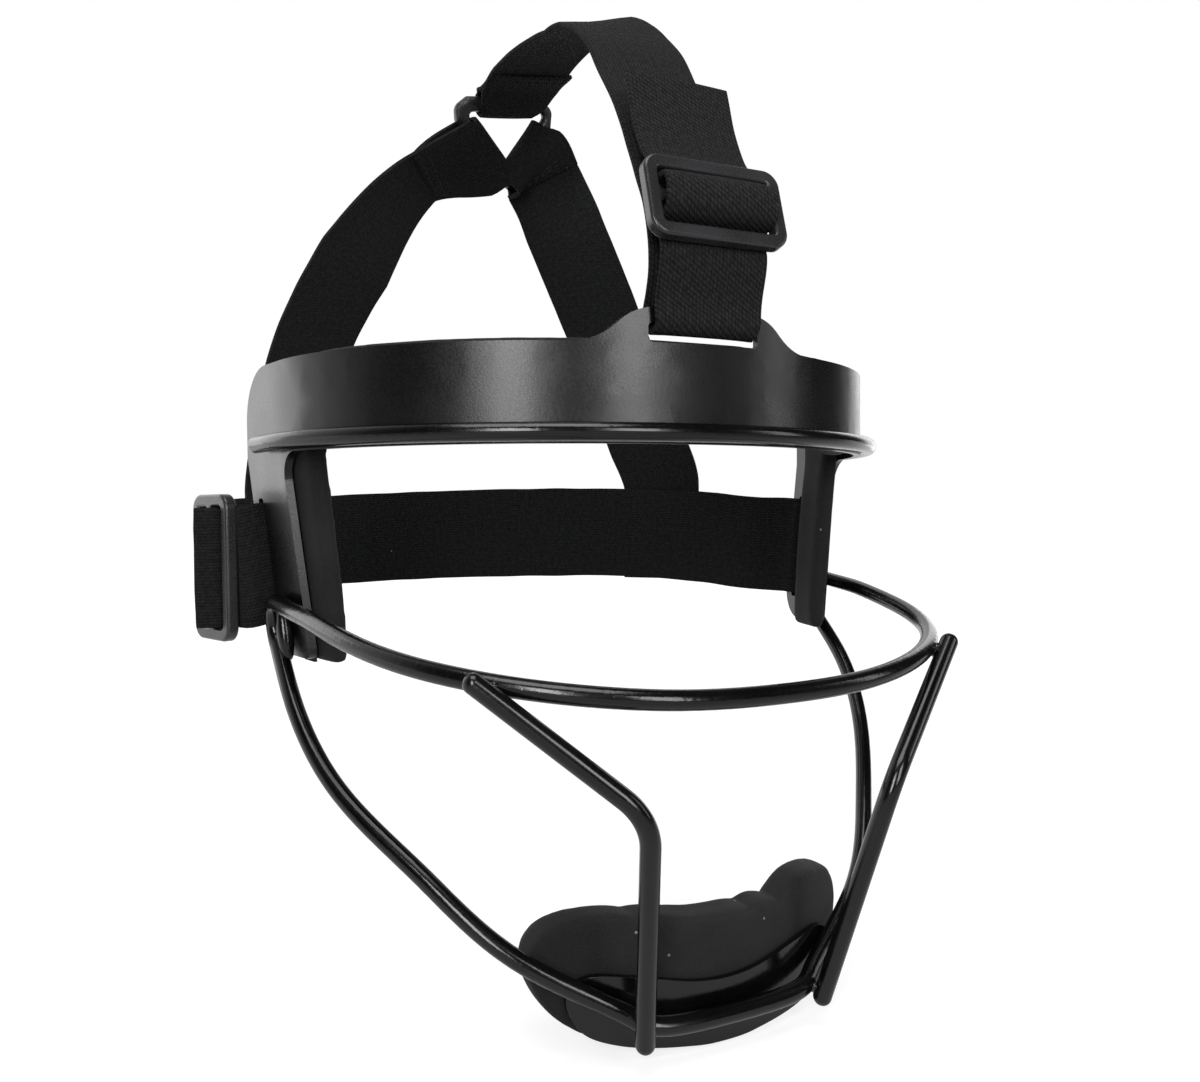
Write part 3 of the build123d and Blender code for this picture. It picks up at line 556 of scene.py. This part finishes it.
low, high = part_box("back_slider")
middle = Vector(((low.x + high.x) / 2, (low.y + high.y) / 2, 0))
shape = merged_copy("back_slider")
bmesh.ops.rotate(shape, verts=shape.verts, cent=middle, matrix=Matrix.Rotation(FLARE, 3, "Z"))
adjuster_mesh = to_mesh(shape, "back_adjuster")
adjuster = settle(
    "back_adjuster", adjuster_mesh, slider_plastic, "back_slider", ["back_slider"]
)
rounded_edge(adjuster, "round_edge", ADJUSTER_EDGE, ADJUSTER_CORNER)
even_light(adjuster)
print("adjuster turned", round(degrees(FLARE)), "degrees about", [round(v / MM, 1) for v in middle])

# %% [markdown]
# ## Welds
# A weld is a small heap of metal that has run into the corner between two wires. Each is a row of overlapping
# balls, remeshed into one skin and smoothed, so that it flows into the wires as the real one does.

# %% Weld heaps
CHEEK_CROSSING = (62.93, -93.32, -59.24), (62.27, -95.83, -54.74)
CHIN_CROSSING = (22.75, -93.59, -139.81), (26.59, -90.03, -143.11)
LEG_FOOT = (92.6, -6.6, -46.5), (91.6, -8.5, -58.5)
CROSSING_HEAP = [(0.25, 1.2), (0.5, 1.7), (0.75, 1.2)]
POOL_STEPS, POOL_EDGE, POOL_SWELL = 10, 1.7, 0.8
POOL_SHARES = [step / POOL_STEPS for step in range(POOL_STEPS + 1)]
FOOT_POOL = [(share, POOL_EDGE + POOL_SWELL * sin(pi * share)) for share in POOL_SHARES]
WELD_CELL, WELD_ROUNDS = 0.35, 20
BALL_FINENESS = 2


def heap(shape, ends, balls):
    """Balls between two places and in their mirror image: how far along each is, and its radius."""
    start, end = (Vector(place) for place in ends)
    for share, radius in balls:
        ball = start.lerp(end, share) * MM
        for side in (1, -1):
            seat = Matrix.Translation(Vector((ball.x * side, ball.y, ball.z)))
            bmesh.ops.create_icosphere(shape, subdivisions=BALL_FINENESS, radius=radius * MM, matrix=seat)


shape = bmesh.new()
heap(shape, CHEEK_CROSSING, CROSSING_HEAP)
heap(shape, CHIN_CROSSING, CROSSING_HEAP)
heap(shape, LEG_FOOT, FOOT_POOL)
welds = settle("weld_heaps", to_mesh(shape, "weld_heaps"), wire_paint, "guard", ["weld_beads"])
even_cells(welds, WELD_CELL)
softened(welds, WELD_ROUNDS)
finished(welds)
all_smooth(welds.data)
print("welds:", len(welds.data.polygons), "faces")

# %% [markdown]
# ## Foam pads
# The pads are cut from foam sheet with a thin fabric face. Their side towards the head is crowned and soft
# at the rim, and their other side lies flat on its tape. Each starts as a copy of its plain solid, remeshed
# to even cells and smoothed. Points on the head's side then move out, most at mid height, and a slow noise
# gives the dents of handling. Cloth simulation wasn't needed for foam this stiff.

# %% Pads from their solids
DENT_SCALE = 55
SMOOTHING = 0.5
RIM_POWER = 4
HEAD_MIDDLE = (0, 0, 0)
JAW_MIDDLE = (0, -20, 0)


def crowned_pad(name, node, cell, middle, crown, dent, rounds, puckers=()):
    """A pad with a crowned inner face; middle is the point that its curve goes round. Its cell, crown and
    dent are in millimetres, and so is a pucker: its place across, how deep the top edge dips there, and how
    far the dip reaches."""
    pad = settle(name, to_mesh(merged_copy(node), name), pad_foam, "guard", [node])
    even_cells(pad, cell)
    finished(pad)
    low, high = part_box(node)
    shape = bmesh.new()
    shape.from_mesh(pad.data)
    axes = {"use_axis_x": True, "use_axis_y": True, "use_axis_z": True}
    for _ in range(rounds):
        bmesh.ops.smooth_vert(shape, verts=shape.verts, factor=SMOOTHING, **axes)
    shape.normal_update()
    heart = Vector(middle) * MM
    for vert in shape.verts:
        inward = heart - vert.co
        inward.z = 0
        facing = max(0.0, vert.normal.dot(inward.normalized()))
        height = 2 * (vert.co.z - low.z) / (high.z - low.z) - 1
        swell = crown * max(0.0, 1 - height**RIM_POWER) * facing
        dents = dent * noise.noise(vert.co * DENT_SCALE) * facing
        vert.co += vert.normal * ((swell + dents) * MM)
        for across, depth, reach in puckers:
            away = (vert.co.x / MM - across) / reach
            dip = depth * max(0.0, 1 - abs(away)) ** 2 * max(0.0, height)
            vert.co.z -= dip * MM
    shape.to_mesh(pad.data)
    shape.free()
    all_smooth(pad.data)
    finer = pad.modifiers.new("finer", "SUBSURF")
    finer.levels = finer.render_levels = 1
    return pad


# %% Brow and side pads
brow_feel = {"cell": 1.3, "middle": HEAD_MIDDLE, "crown": 1.2, "dent": 0.5, "rounds": 6}
brow_cushion = crowned_pad("brow_cushion", "brow_pad", **brow_feel)
side_feel = {"cell": 0.9, "middle": HEAD_MIDDLE, "crown": 1.4, "dent": 0.4, "rounds": 14}
for side in ("right", "left"):
    side_cushion = crowned_pad(f"side_cushion_{side}", f"side_pad_{side}", **side_feel)

# %% Chin pad, with the puckers of its upper edge
PUCKERS = [(20, 3.6, 10), (10, 1.4, 6), (-22, 0.9, 7), (45, -1.0, 7)]
chin_feel = {"cell": 1.1, "middle": JAW_MIDDLE, "crown": 1.8, "dent": 0.9, "rounds": 5}
chin_cushion = crowned_pad("chin_cushion", "chin_pad", puckers=PUCKERS, **chin_feel)

# %% [markdown]
# ## Webbing
# A strap is a ribbon: one edge across the strap, extruded from station to station. A station is a middle
# point, the way across and the width. The stations follow the routes of the plain solids, moved by a few
# millimetres where the photograph shows a strap elsewhere. A Bezier through them takes the corners out.
# Solidify gives the ribbon its thickness and a bevel rounds its woven edges, and the UV map keeps true
# metres across and along, for the weave.

# %% Ways across the straps and their widths
LEVEL, UPRIGHT = (1, 0, 0), (0, 0, 1)
RIGHT_SLOT, LEFT_SLOT = (-0.106, 0, 0.994), (0.106, 0, 0.994)
OVER_RING = (0.98, 0.098, 0.175)
RIGHT_FOLD, LEFT_FOLD = (0.725, 0.347, -0.594), (-0.529, 0.222, -0.819)
RIGHT_SEAM, LEFT_SEAM = (0.682, 0.688, -0.25), (-0.849, 0.275, -0.451)
RIGHT_TAIL, LEFT_TAIL = (0.91, 0.413, 0.028), (-0.655, 0.754, 0.049)
CROWN_WIDTH, BACK_WIDTH = 30.5, 34.5
SLIDER_WIDTH, RING_WIDTH, NARROWING_WIDTH = 31.6, 22, 26.2
ARM_FOLD_WIDTH, ARM_BEND_WIDTH = 25, 28


def stretch(across, width, *places):
    """Stations with one way across and one width; all in millimetres."""
    return [(*place, *across, width) for place in places]


# %% The crown webbing: from the tab's slot over the head and the ring, and back on itself
TOP_STRAP_STATIONS = [
    *stretch(LEVEL, CROWN_WIDTH,
        (0, -79.2, 24.9), (0, -77.7, 25.3), (0, -76.7, 26.4), (0, -76.3, 27.9), (0, -76.3, 31.1),
        (0, -77.2, 33.5), (0, -78.9, 41), (0, -78.6, 49), (0, -76.2, 57), (0, -72.5, 64.5),
        (0, -68.5, 72.5), (0, -64.1, 81)),
    *stretch((0.999, 0.02, 0.035), CROWN_WIDTH, (0, -58.5, 90)),
    *stretch((0.996, 0.044, 0.079), CROWN_WIDTH, (0, -52, 98.5)),
    *stretch((0.99, 0.069, 0.123), CROWN_WIDTH, (0, -44, 109.8)),
    *stretch((0.982, 0.093, 0.167), CROWN_WIDTH, (0, -35, 118)),
    *stretch((0.971, 0.117, 0.24), CROWN_WIDTH, (0, -25.5, 124.5)),
    *stretch((0.961, 0.135, 0.36), CROWN_WIDTH, (0, -14, 129.45)),
    *stretch((0.963, 0.131, 0.3), CROWN_WIDTH, (0, 0, 132.2)),
    *stretch((0.968, 0.121, 0.24), CROWN_WIDTH, (0, 15, 133.6)),
    *stretch((0.975, 0.107, 0.192), CROWN_WIDTH, (0, 30, 133.8)),
    *stretch(OVER_RING, CROWN_WIDTH, (0.8, 46, 133.2)),
    *stretch(OVER_RING, NARROWING_WIDTH, (-0.3, 54, 134.9)),
    *stretch(OVER_RING, RING_WIDTH,
        (-0.7, 58, 134.9), (-0.8, 59.9, 134.1), (-0.6, 61.2, 132.5), (-0.3, 61.5, 130.5),
        (0.1, 60.8, 128.7), (0.5, 59.2, 127.4), (0.7, 57.2, 127.1)),
    *stretch(OVER_RING, NARROWING_WIDTH, (1, 53.3, 128)),
    *stretch(OVER_RING, CROWN_WIDTH, (1.1, 45.8, 131.5), (2, 33.9, 132.9)),
]

# %% The crown's loop: from the slot up through the slider's window to its free end
TOP_STRAP_LOOP_STATIONS = [
    *stretch(LEVEL, 29.6, (0, -79.2, 24.9), (0, -80.7, 25.3)),
    *stretch(LEVEL, 29.8, (0, -81.8, 26.4)),
    *stretch(LEVEL, 30.2, (0, -82.2, 27.9)),
    *stretch(LEVEL, CROWN_WIDTH, (0, -82.2, 31.1), (0, -85, 44.6), (0, -83.8, 48.3)),
    *stretch(LEVEL, SLIDER_WIDTH,
        (0, -84, 50.3), (0, -86.9, 51.8), (0, -88.9, 53.3), (0, -89.2, 55.4), (0, -89.1, 57.8),
        (0, -88.6, 59.7), (0, -87, 61.2)),
    *stretch(LEVEL, 31.2, (0, -83.6, 61)),
    *stretch(LEVEL, SLIDER_WIDTH, (0, -81.2, 60.4)),
    *stretch(LEVEL, CROWN_WIDTH,
        (0, -79.9, 62.1), (0, -79, 65.8), (0, -75.5, 70), (0, -71, 79), (0, -67, 92.5)),
]

# %% The back webbing: through the left leg's slot, round the head, to the right leg's slot
BACK_STRAP_STATIONS = [
    *stretch(UPRIGHT, BACK_WIDTH, (71.7, 32.3, -30), (81.3, 21.7, -31.8)),
    *stretch(LEFT_SLOT, BACK_WIDTH,
        (95.2, 14.2, -32.9), (97.1, 11.5, -33.2), (96.3, 7.6, -33.2), (95.7, 6.4, -33.1),
        (94.7, 5.7, -33), (93.4, 5.6, -32.9), (92.3, 6.2, -32.8), (91.6, 7.2, -32.7),
        (91.5, 8.5, -32.6)),
    *stretch(UPRIGHT, BACK_WIDTH,
        (80, 20.5, -31.8), (70.5, 31, -30), (44, 61.5, -28), (30, 68, -27.8), (15, 74, -27.8),
        (-2, 83, -28), (-20, 93, -28.5), (-40, 99, -29.2), (-60, 100.5, -30), (-92, 86, -31),
        (-99, 77, -31.5), (-104.2, 62, -32.2), (-105.3, 47, -33), (-102.4, 36, -33.5),
        (-98.5, 24, -33.5)),
    *stretch(RIGHT_SLOT, BACK_WIDTH, (-92.3, 12.2, -32.6), (-91.5, 8.5, -32.6), (-91.6, 7.2, -32.7)),
]

# %% The back's loop: from the right leg's slot, through the turned adjuster, to its free end
FLARE_PIVOT = Vector((-106.1, 16.4, 0))
LOOP_HEIGHT = -34.6


def flared(*spots):
    """Places on the loop, given by x and y as they would be before the adjuster's turn."""
    turn = Matrix.Rotation(FLARE, 3, "Z")
    return [tuple(turn @ (Vector((*spot, LOOP_HEIGHT)) - FLARE_PIVOT) + FLARE_PIVOT) for spot in spots]


BACK_STRAP_LOOP_STATIONS = [
    *stretch(RIGHT_SLOT, 33.6, (-91.6, 7.2, -32.7)),
    *stretch(RIGHT_SLOT, 33.8, (-92.3, 6.2, -32.8)),
    *stretch(RIGHT_SLOT, 34, (-93.4, 5.6, -32.9)),
    *stretch(RIGHT_SLOT, BACK_WIDTH, (-95.2, 5.2, -33.1)),
    *stretch(UPRIGHT, BACK_WIDTH, *flared(
        (-105.8, 5.1), (-105.4, 9), (-106, 11), (-108.2, 12.1), (-110.4, 13.2), (-112.3, 15.3),
        (-113.7, 16.9), (-112.1, 18.3), (-109.9, 20), (-107.4, 20.7), (-105.1, 21.4), (-104.1, 23.3),
        (-103.9, 27.2))),
    *stretch(UPRIGHT, BACK_WIDTH, (-109.2, 37, LOOP_HEIGHT), (-109.6, 47, LOOP_HEIGHT)),
]

# %% The right arm: folded over the ring, sewn, and down to the back webbing
RIGHT_RING_BAR, LEFT_RING_BAR = (-5.425, 59.141, 112.518), (10.313, 61.066, 114.343)


def round_bar(start, *steps):
    """Places where an arm goes round a bar of the ring: the first, and the others by their steps from it."""
    return [start, *(tuple(at + by for at, by in zip(start, step)) for step in steps)]


REAR_STRAP_RIGHT_STATIONS = [
    *stretch(RIGHT_SEAM, ARM_FOLD_WIDTH, (-27.943, 70.57, 105.2)),
    *stretch(RIGHT_FOLD, ARM_BEND_WIDTH, (-9.34, 59.755, 110.45)),
    *stretch(RIGHT_FOLD, ARM_FOLD_WIDTH, *round_bar(RIGHT_RING_BAR,
        (1.3, 0.2, 1.7), (2.1, 1.3, 3.4), (2.2, 3.2, 4.5), (1.5, 5.3, 4.9), (0.2, 6.9, 4.3),
        (-1.3, 7.8, 3))),
    *stretch(RIGHT_FOLD, ARM_BEND_WIDTH, (-10.54, 66.755, 113.05)),
    *stretch(RIGHT_SEAM, ARM_FOLD_WIDTH, (-27.2, 72.1, 105.2)),
    *stretch((0.844, 0.394, -0.364), CROWN_WIDTH, (-52.5, 75, 72)),
    *stretch((0.883, 0.408, -0.233), CROWN_WIDTH, (-68, 84, 39)),
    *stretch((0.905, 0.414, -0.1), CROWN_WIDTH, (-75, 92, 5)),
    *stretch(RIGHT_TAIL, CROWN_WIDTH, (-76.8, 95.1, -9.9), (-76.8, 95.1, -13.6), (-76.8, 95.1, -47.5)),
]

# %% The left arm: folded, sewn and led the same way
REAR_STRAP_LEFT_STATIONS = [
    *stretch(LEFT_SEAM, CROWN_WIDTH, (19.457, 69.97, 109.7)),
    *stretch(LEFT_FOLD, ARM_BEND_WIDTH, (14.554, 62.455, 113.69)),
    *stretch(LEFT_FOLD, ARM_FOLD_WIDTH, *round_bar(LEFT_RING_BAR,
        (-1.8, -0.1, 1.1), (-3.4, 0.8, 2.4), (-4.2, 2.6, 3.4), (-4, 4.7, 3.9), (-3, 6.7, 3.7),
        (-1.3, 7.9, 2.9))),
    *stretch(LEFT_FOLD, ARM_BEND_WIDTH, (13.354, 69.555, 116.39)),
    *stretch(LEFT_SEAM, CROWN_WIDTH, (20.2, 71.5, 109.7)),
    *stretch((-0.626, 0.396, -0.672), CROWN_WIDTH, (29, 64, 83)),
    *stretch((-0.69, 0.569, -0.448), CROWN_WIDTH, (43, 60.6, 48)),
    *stretch((-0.696, 0.693, -0.187), CROWN_WIDTH, (55, 52.7, 8)),
    *stretch(LEFT_TAIL, CROWN_WIDTH, (58.8, 47.6, -8.4), (58.8, 47.6, -12.1), (58.8, 47.6, -46)),
]

# %% A smooth line through stations
ROW_STEP = 1.6 * MM
LEAST_STEPS = 2


def directions(places):
    """The way through each place: half way between the ways from the last one and to the next."""
    ways = []
    for index, place in enumerate(places):
        before = places[max(index - 1, 0)]
        after = places[min(index + 1, len(places) - 1)]
        ways.append(((place - before).normalized() + (after - place).normalized()).normalized())
    return ways


def smooth_rows(stations):
    """Rows of middle, way across, way along, width and run, on a smooth line through the stations."""
    places = [Vector(station[:3]) * MM for station in stations]
    sides = [Vector(station[3:6]).normalized() for station in stations]
    widths = [station[6] * MM for station in stations]
    ways = directions(places)
    rows, run, last = [], 0.0, None
    for index in range(len(places) - 1):
        start, end = places[index], places[index + 1]
        length = (end - start).length
        steps = max(LEAST_STEPS, ceil(length / ROW_STEP))
        handles = start + ways[index] * (length / 3), end - ways[index + 1] * (length / 3)
        line = geometry.interpolate_bezier(start, *handles, end, steps + 1)
        last_stretch = index == len(places) - 2
        for step, point in enumerate(line if last_stretch else line[:-1]):
            share = step / steps
            run += (point - last).length if last else 0.0
            last = point
            way = ways[index].lerp(ways[index + 1], share).normalized()
            side = sides[index].lerp(sides[index + 1], share)
            side = (side - way * side.dot(way)).normalized()
            width = widths[index] + (widths[index + 1] - widths[index]) * share
            rows.append((point, side, way, width, run))
    return rows


# %% Rows of vertices, one extruded from the other
ACROSS_SHARES = (-1, -0.93, -0.7, -0.35, 0, 0.35, 0.7, 0.93, 1)


def first_line(shape, middle):
    """A line of joined vertices, all at one place until the ribbon sets them."""
    line = [shape.verts.new(middle) for _ in ACROSS_SHARES]
    for near, far in zip(line, line[1:]):
        shape.edges.new((near, far))
    return line


def next_line(shape, line):
    """The line extruded by one row; the new vertices come in the order of the old ones."""
    edges = [shape.edges.get((near, far)) for near, far in zip(line, line[1:])]
    made = bmesh.ops.extrude_edge_only(shape, edges=edges)["geom"]
    fresh = [vert for vert in made if isinstance(vert, bmesh.types.BMVert)]
    old = set(line)
    links = [(edge.other_vert(vert), vert) for vert in fresh for edge in vert.link_edges]
    pairs = {before: vert for before, vert in links if before in old}
    return [pairs[vert] for vert in line]


# %% A ribbon of webbing
WEBBING_THICKNESS = 1.5 * MM
WOVEN_EDGE, WOVEN_CORNER = 0.5, 60
CUP, CUP_POWER = 0.25, 4
EDGE_WAVE, EDGE_WAVE_SCALE = 0.22, 90
RIPPLE, RIPPLE_SCALE, RIPPLES_ACROSS = 0.2, 40, 2
RUNS = {}


def ribbon(name, stations, material, slot, node, seed, body=None):
    """Webbing along its stations, with edges that curl and waver by a fraction of a millimetre. The seed
    gives each strap its own waves."""
    rows = RUNS[name] = smooth_rows(stations)
    shape = bmesh.new()
    line, spots = None, {}
    for middle, side, way, width, run in rows:
        line = next_line(shape, line) if line else first_line(shape, middle)
        wave = noise.noise(Vector((run * EDGE_WAVE_SCALE, seed, 0))) * EDGE_WAVE * MM
        half = width / 2 + wave
        face = side.cross(way)
        for vert, share in zip(line, ACROSS_SHARES):
            spot = Vector((run * RIPPLE_SCALE, share * RIPPLES_ACROSS, seed))
            ripple = noise.noise(spot) * RIPPLE
            vert.co = middle + side * (share * half) + face * ((ripple - CUP * share**CUP_POWER) * MM)
            spots[vert] = (share * half, run)
    cloth = shape.loops.layers.uv.new("cloth")
    for quad in shape.faces:
        for loop in quad.loops:
            loop[cloth].uv = spots[loop.vert]
    strap = settle(name, to_mesh(shape, name), material, None, [node])
    wall = strap.modifiers.new("thickness", "SOLIDIFY")
    wall.thickness = WEBBING_THICKNESS
    wall.offset = 0
    rounded_edge(strap, "woven_edge", WOVEN_EDGE, WOVEN_CORNER)
    finished(strap)
    all_smooth(strap.data)
    print(f"{name}: {rows[-1][4] / MM:.0f} mm long")
    if body:
        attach(strap, body)
    return strap


# %% The harness
CROWN_SLOT, BACK_SLOT = "crown_webbing", "back_webbing"

STRAPS = [
    ("crown_webbing", TOP_STRAP_STATIONS, crown_elastic, CROWN_SLOT, "top_strap"),
    ("back_webbing", BACK_STRAP_STATIONS, back_elastic, BACK_SLOT, "back_strap"),
    ("rear_arm_right", REAR_STRAP_RIGHT_STATIONS, back_elastic, CROWN_SLOT, "rear_strap_right"),
    ("rear_arm_left", REAR_STRAP_LEFT_STATIONS, back_elastic, CROWN_SLOT, "rear_strap_left"),
]
for seed, strap in enumerate(STRAPS, 1):
    ribbon(*strap, seed, body="guard")

# %% [markdown]
# ## The adjusters' loops
# When a slider moves, its free loop of webbing comes along while the other end stays at the plate. Here each
# loop is made like a strap and put in the scene's own place, riding on no body.

# %% The loops, from the plate's slots through the sliders
seed = len(STRAPS) + 1
crown_loop = ribbon("crown_loop", TOP_STRAP_LOOP_STATIONS, crown_elastic, CROWN_SLOT, "top_strap_loop", seed)
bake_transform(crown_loop)
seed += 1
back_loop = ribbon("back_loop", BACK_STRAP_LOOP_STATIONS, back_elastic, BACK_SLOT, "back_strap_loop", seed)
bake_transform(back_loop)

# %% [markdown]
# ## Stitches
# Thread shows as short raised dashes that dip into the webbing. Each is a small ball stretched along the
# seam. Seams across a strap hold its folded end, and on the arms' lower ends seams along the strap close the
# box.

# %% Seams
STITCH = Vector((1.25, 0.3, 0.24)) * MM
STITCH_STEP = 3.0 * MM
SEAM_MARGIN = 2.0 * MM
STITCH_FINENESS = 1


def nearest_row(rows, run):
    return min(rows, key=lambda row: abs(row[4] - run))


def outer_face(side, way, outward):
    """The strap's face that looks outward."""
    face = side.cross(way)
    return face if face.dot(Vector(outward)) > 0 else -face


def stitch(shape, place, way, face):
    way = (way - face * way.dot(face)).normalized()
    turn = Matrix((way, face.cross(way), face)).transposed().to_4x4()
    seat = Matrix.Translation(place + face * (WEBBING_THICKNESS / 2)) @ turn @ Matrix.Diagonal((*STITCH, 1))
    bmesh.ops.create_icosphere(shape, subdivisions=STITCH_FINENESS, radius=1, matrix=seat)


def cross_seam(shape, rows, run, outward):
    """Stitches across a strap at a run, on the face that looks outward."""
    middle, side, way, width, _ = nearest_row(rows, run)
    face = outer_face(side, way, outward)
    reach = width / 2 - SEAM_MARGIN
    count = int(2 * reach / STITCH_STEP)
    for step in range(count + 1):
        offset = -reach + 2 * reach * step / count
        stitch(shape, middle + side * offset, side, face)


def long_seam(shape, rows, start, end, share, outward):
    """Stitches along a strap between two runs, at a share of its half width."""
    count = max(1, int(abs(end - start) / STITCH_STEP))
    for step in range(count + 1):
        middle, side, way, width, _ = nearest_row(rows, start + (end - start) * step / count)
        stitch(shape, middle + side * (share * width / 2), way, outer_face(side, way, outward))


# %% Stitches on the crown webbing
UNDERSIDE, UPSIDE = (0, 0, -1), (0, 0, 1)
SEAM_PAIR = (2.2, 5.0)
CROWN_FOLD = 50

shape = bmesh.new()
crown_rows = RUNS["crown_webbing"]
crown_run = crown_rows[-1][4]
for inset in SEAM_PAIR:
    cross_seam(shape, crown_rows, crown_run - inset * MM, UNDERSIDE)
    cross_seam(shape, crown_rows, crown_run - (CROWN_FOLD + inset) * MM, UPSIDE)
crown_stitches = to_mesh(shape, "crown_stitches")
settle("crown_stitches", crown_stitches, thread, "guard", sharp=ROUND_EDGE)

# %% Stitches on the arms and the back webbing
FRONT, REAR, REAR_LEFT = (0, -1, 0), (0, 1, 0), (1, 1, 0)
ARM_SEAM_PAIR = (2.2, 4.8)
BOX_LENGTH, BOX_TOP, BOX_FOOT = 31.5, 29, 3
BOX_SHARE = 0.86

shape = bmesh.new()
for name in ("rear_arm_right", "rear_arm_left"):
    rows = RUNS[name]
    run = rows[-1][4]
    for inset in ARM_SEAM_PAIR:
        cross_seam(shape, rows, inset * MM, FRONT)
        cross_seam(shape, rows, run - inset * MM, REAR)
        cross_seam(shape, rows, run - (BOX_LENGTH - inset) * MM, REAR)
    for share in (-BOX_SHARE, BOX_SHARE):
        long_seam(shape, rows, run - BOX_TOP * MM, run - BOX_FOOT * MM, share, REAR)
for inset in SEAM_PAIR:
    cross_seam(shape, RUNS["back_webbing"], inset * MM, REAR_LEFT)
harness_stitches = to_mesh(shape, "harness_stitches")
settle("harness_stitches", harness_stitches, thread, "guard", sharp=ROUND_EDGE)

# %% [markdown]
# ## Floor, room and lamps
# The guard stands over a plain pale floor. What makes black paint readable is what it mirrors: narrow strips
# of light in front draw the bright lines on the band and the wires, and the dark between them keeps the rest
# black. So the room and the floor are white to the camera, but in reflections only behind the guard.

# %% Floor
FLOOR_GAP = 0.6 * MM
FLOOR_RADIUS, FLOOR_SIDES = 6.0, 64
FLOOR_GREY = 0.34
SHINE_STARTS, SHINE_FULL, LEAST_SHINE = -0.4, 0.3, 0.02
GLOW_NEAR, GLOW_FAR, LEAST_GLOW = 0.25, 1.2, 0.76

low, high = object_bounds()
shape = bmesh.new()
bmesh.ops.create_circle(shape, cap_ends=True, segments=FLOOR_SIDES, radius=FLOOR_RADIUS)
bmesh.ops.translate(shape, verts=shape.verts, vec=(0, 0, low.z - FLOOR_GAP))
floor = bpy.data.objects.new("floor", to_mesh(shape, "floor"))
bpy.context.scene.collection.objects.link(floor)
floor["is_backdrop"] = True

floor_paint, tree, shader = plain_material("floor_paint", roughness=0.9, specular=0.1)
shader.inputs["Base Color"].default_value = (FLOOR_GREY, FLOOR_GREY, FLOOR_GREY, 1)
glow = add_node(tree, "ShaderNodeEmission", {"Color": (1, 1, 1, 1)})
rays = add_node(tree, "ShaderNodeLightPath").outputs
place = object_place(tree)
seen = plus(tree, rays["Is Camera Ray"], rays["Is Transmission Ray"], clamp=True)
axes = add_node(tree, "ShaderNodeSeparateXYZ")
tree.links.new(place, axes.inputs[0])
back_shine = span(tree, axes.outputs["Y"], SHINE_STARTS, SHINE_FULL, LEAST_SHINE, 1.0)
seen = plus(tree, seen, times(tree, rays["Is Glossy Ray"], back_shine), clamp=True)
distance = add_node(tree, "ShaderNodeVectorMath", operation="LENGTH")
tree.links.new(place, distance.inputs[0])
far_glow = span(tree, distance.outputs["Value"], GLOW_NEAR, GLOW_FAR, LEAST_GLOW, 1.0)
tree.links.new(times(tree, seen, far_glow), glow.inputs["Strength"])
both = add_node(tree, "ShaderNodeAddShader")
tree.links.new(shader.outputs[0], both.inputs[0])
tree.links.new(glow.outputs[0], both.inputs[1])
tree.links.new(both.outputs[0], tree.nodes["Material Output"].inputs["Surface"])
floor.data.materials.append(floor_paint)
print("floor at", round((low.z - FLOOR_GAP) / MM, 1), "mm")

# %% World
DARK_SIDE = (0.2, -0.97, 0.1)
LIT_BELOW, DARK_ABOVE, DARK_ROOM = -0.75, 0.1, 0.03
AMBIENT = 0.3

world = bpy.data.worlds.new("studio")
bpy.context.scene.world = world
world.use_nodes = True
tree = world.node_tree
background = tree.nodes["Background"]
background.inputs["Color"].default_value = (1, 1, 1, 1)
rays = add_node(tree, "ShaderNodeLightPath").outputs
facing = add_node(tree, "ShaderNodeVectorMath", operation="DOT_PRODUCT")
tree.links.new(add_node(tree, "ShaderNodeTexCoord").outputs["Generated"], facing.inputs[0])
facing.inputs[1].default_value = DARK_SIDE
room = span(tree, facing.outputs["Value"], LIT_BELOW, DARK_ABOVE, 1.0, DARK_ROOM)
shown = plus(tree, rays["Is Camera Ray"], rays["Is Transmission Ray"], clamp=True)
shown = maths(tree, "MAXIMUM", shown, times(tree, rays["Is Glossy Ray"], room))
shown = plus(tree, shown, times(tree, rays["Is Diffuse Ray"], AMBIENT))
tree.links.new(shown, background.inputs["Strength"])
print("room: dark towards", DARK_SIDE)

# %% Lamps
LAMP_DISTANCE = 0.9


def softbox(name, compass, height, size, glow):
    """A softbox round the guard: its bearing in degrees from straight ahead towards the wearer's left, its
    height in degrees, its size in metres and its brightness."""
    data = bpy.data.lights.new(name, "AREA")
    data.shape = "RECTANGLE"
    data.size, data.size_y = size
    data.energy = glow * pi * size[0] * size[1]
    lamp = bpy.data.objects.new(name, data)
    bpy.context.scene.collection.objects.link(lamp)
    tilt, bearing = radians(height), radians(compass)
    way = Vector((sin(bearing) * cos(tilt), -cos(bearing) * cos(tilt), sin(tilt)))
    lamp.location = way * LAMP_DISTANCE
    lamp.rotation_euler = (-way).to_track_quat("-Z", "Y").to_euler()
    lamp.visible_camera = False


softbox("rear_right_box", compass=-145, height=14, size=(0.6, 0.6), glow=1.2)
softbox("main_strip", compass=-33, height=15, size=(0.2, 0.5), glow=13.0)
softbox("middle_strip", compass=6, height=15, size=(0.22, 0.5), glow=7.5)
softbox("left_strip", compass=56, height=15, size=(0.16, 0.5), glow=2.6)
softbox("rear_left_box", compass=116, height=12, size=(0.3, 0.6), glow=1.5)
softbox("top_box", compass=-25, height=70, size=(0.6, 0.6), glow=4.2)
print("lamps:", len(bpy.data.lights))

# %% [markdown]
# ## Sizes
# The dressed model's box is printed, in millimetres.

# %% Print the sizes
low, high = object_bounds()
print("visual box in mm:", [round(c / MM, 1) for c in low], [round(c / MM, 1) for c in high])
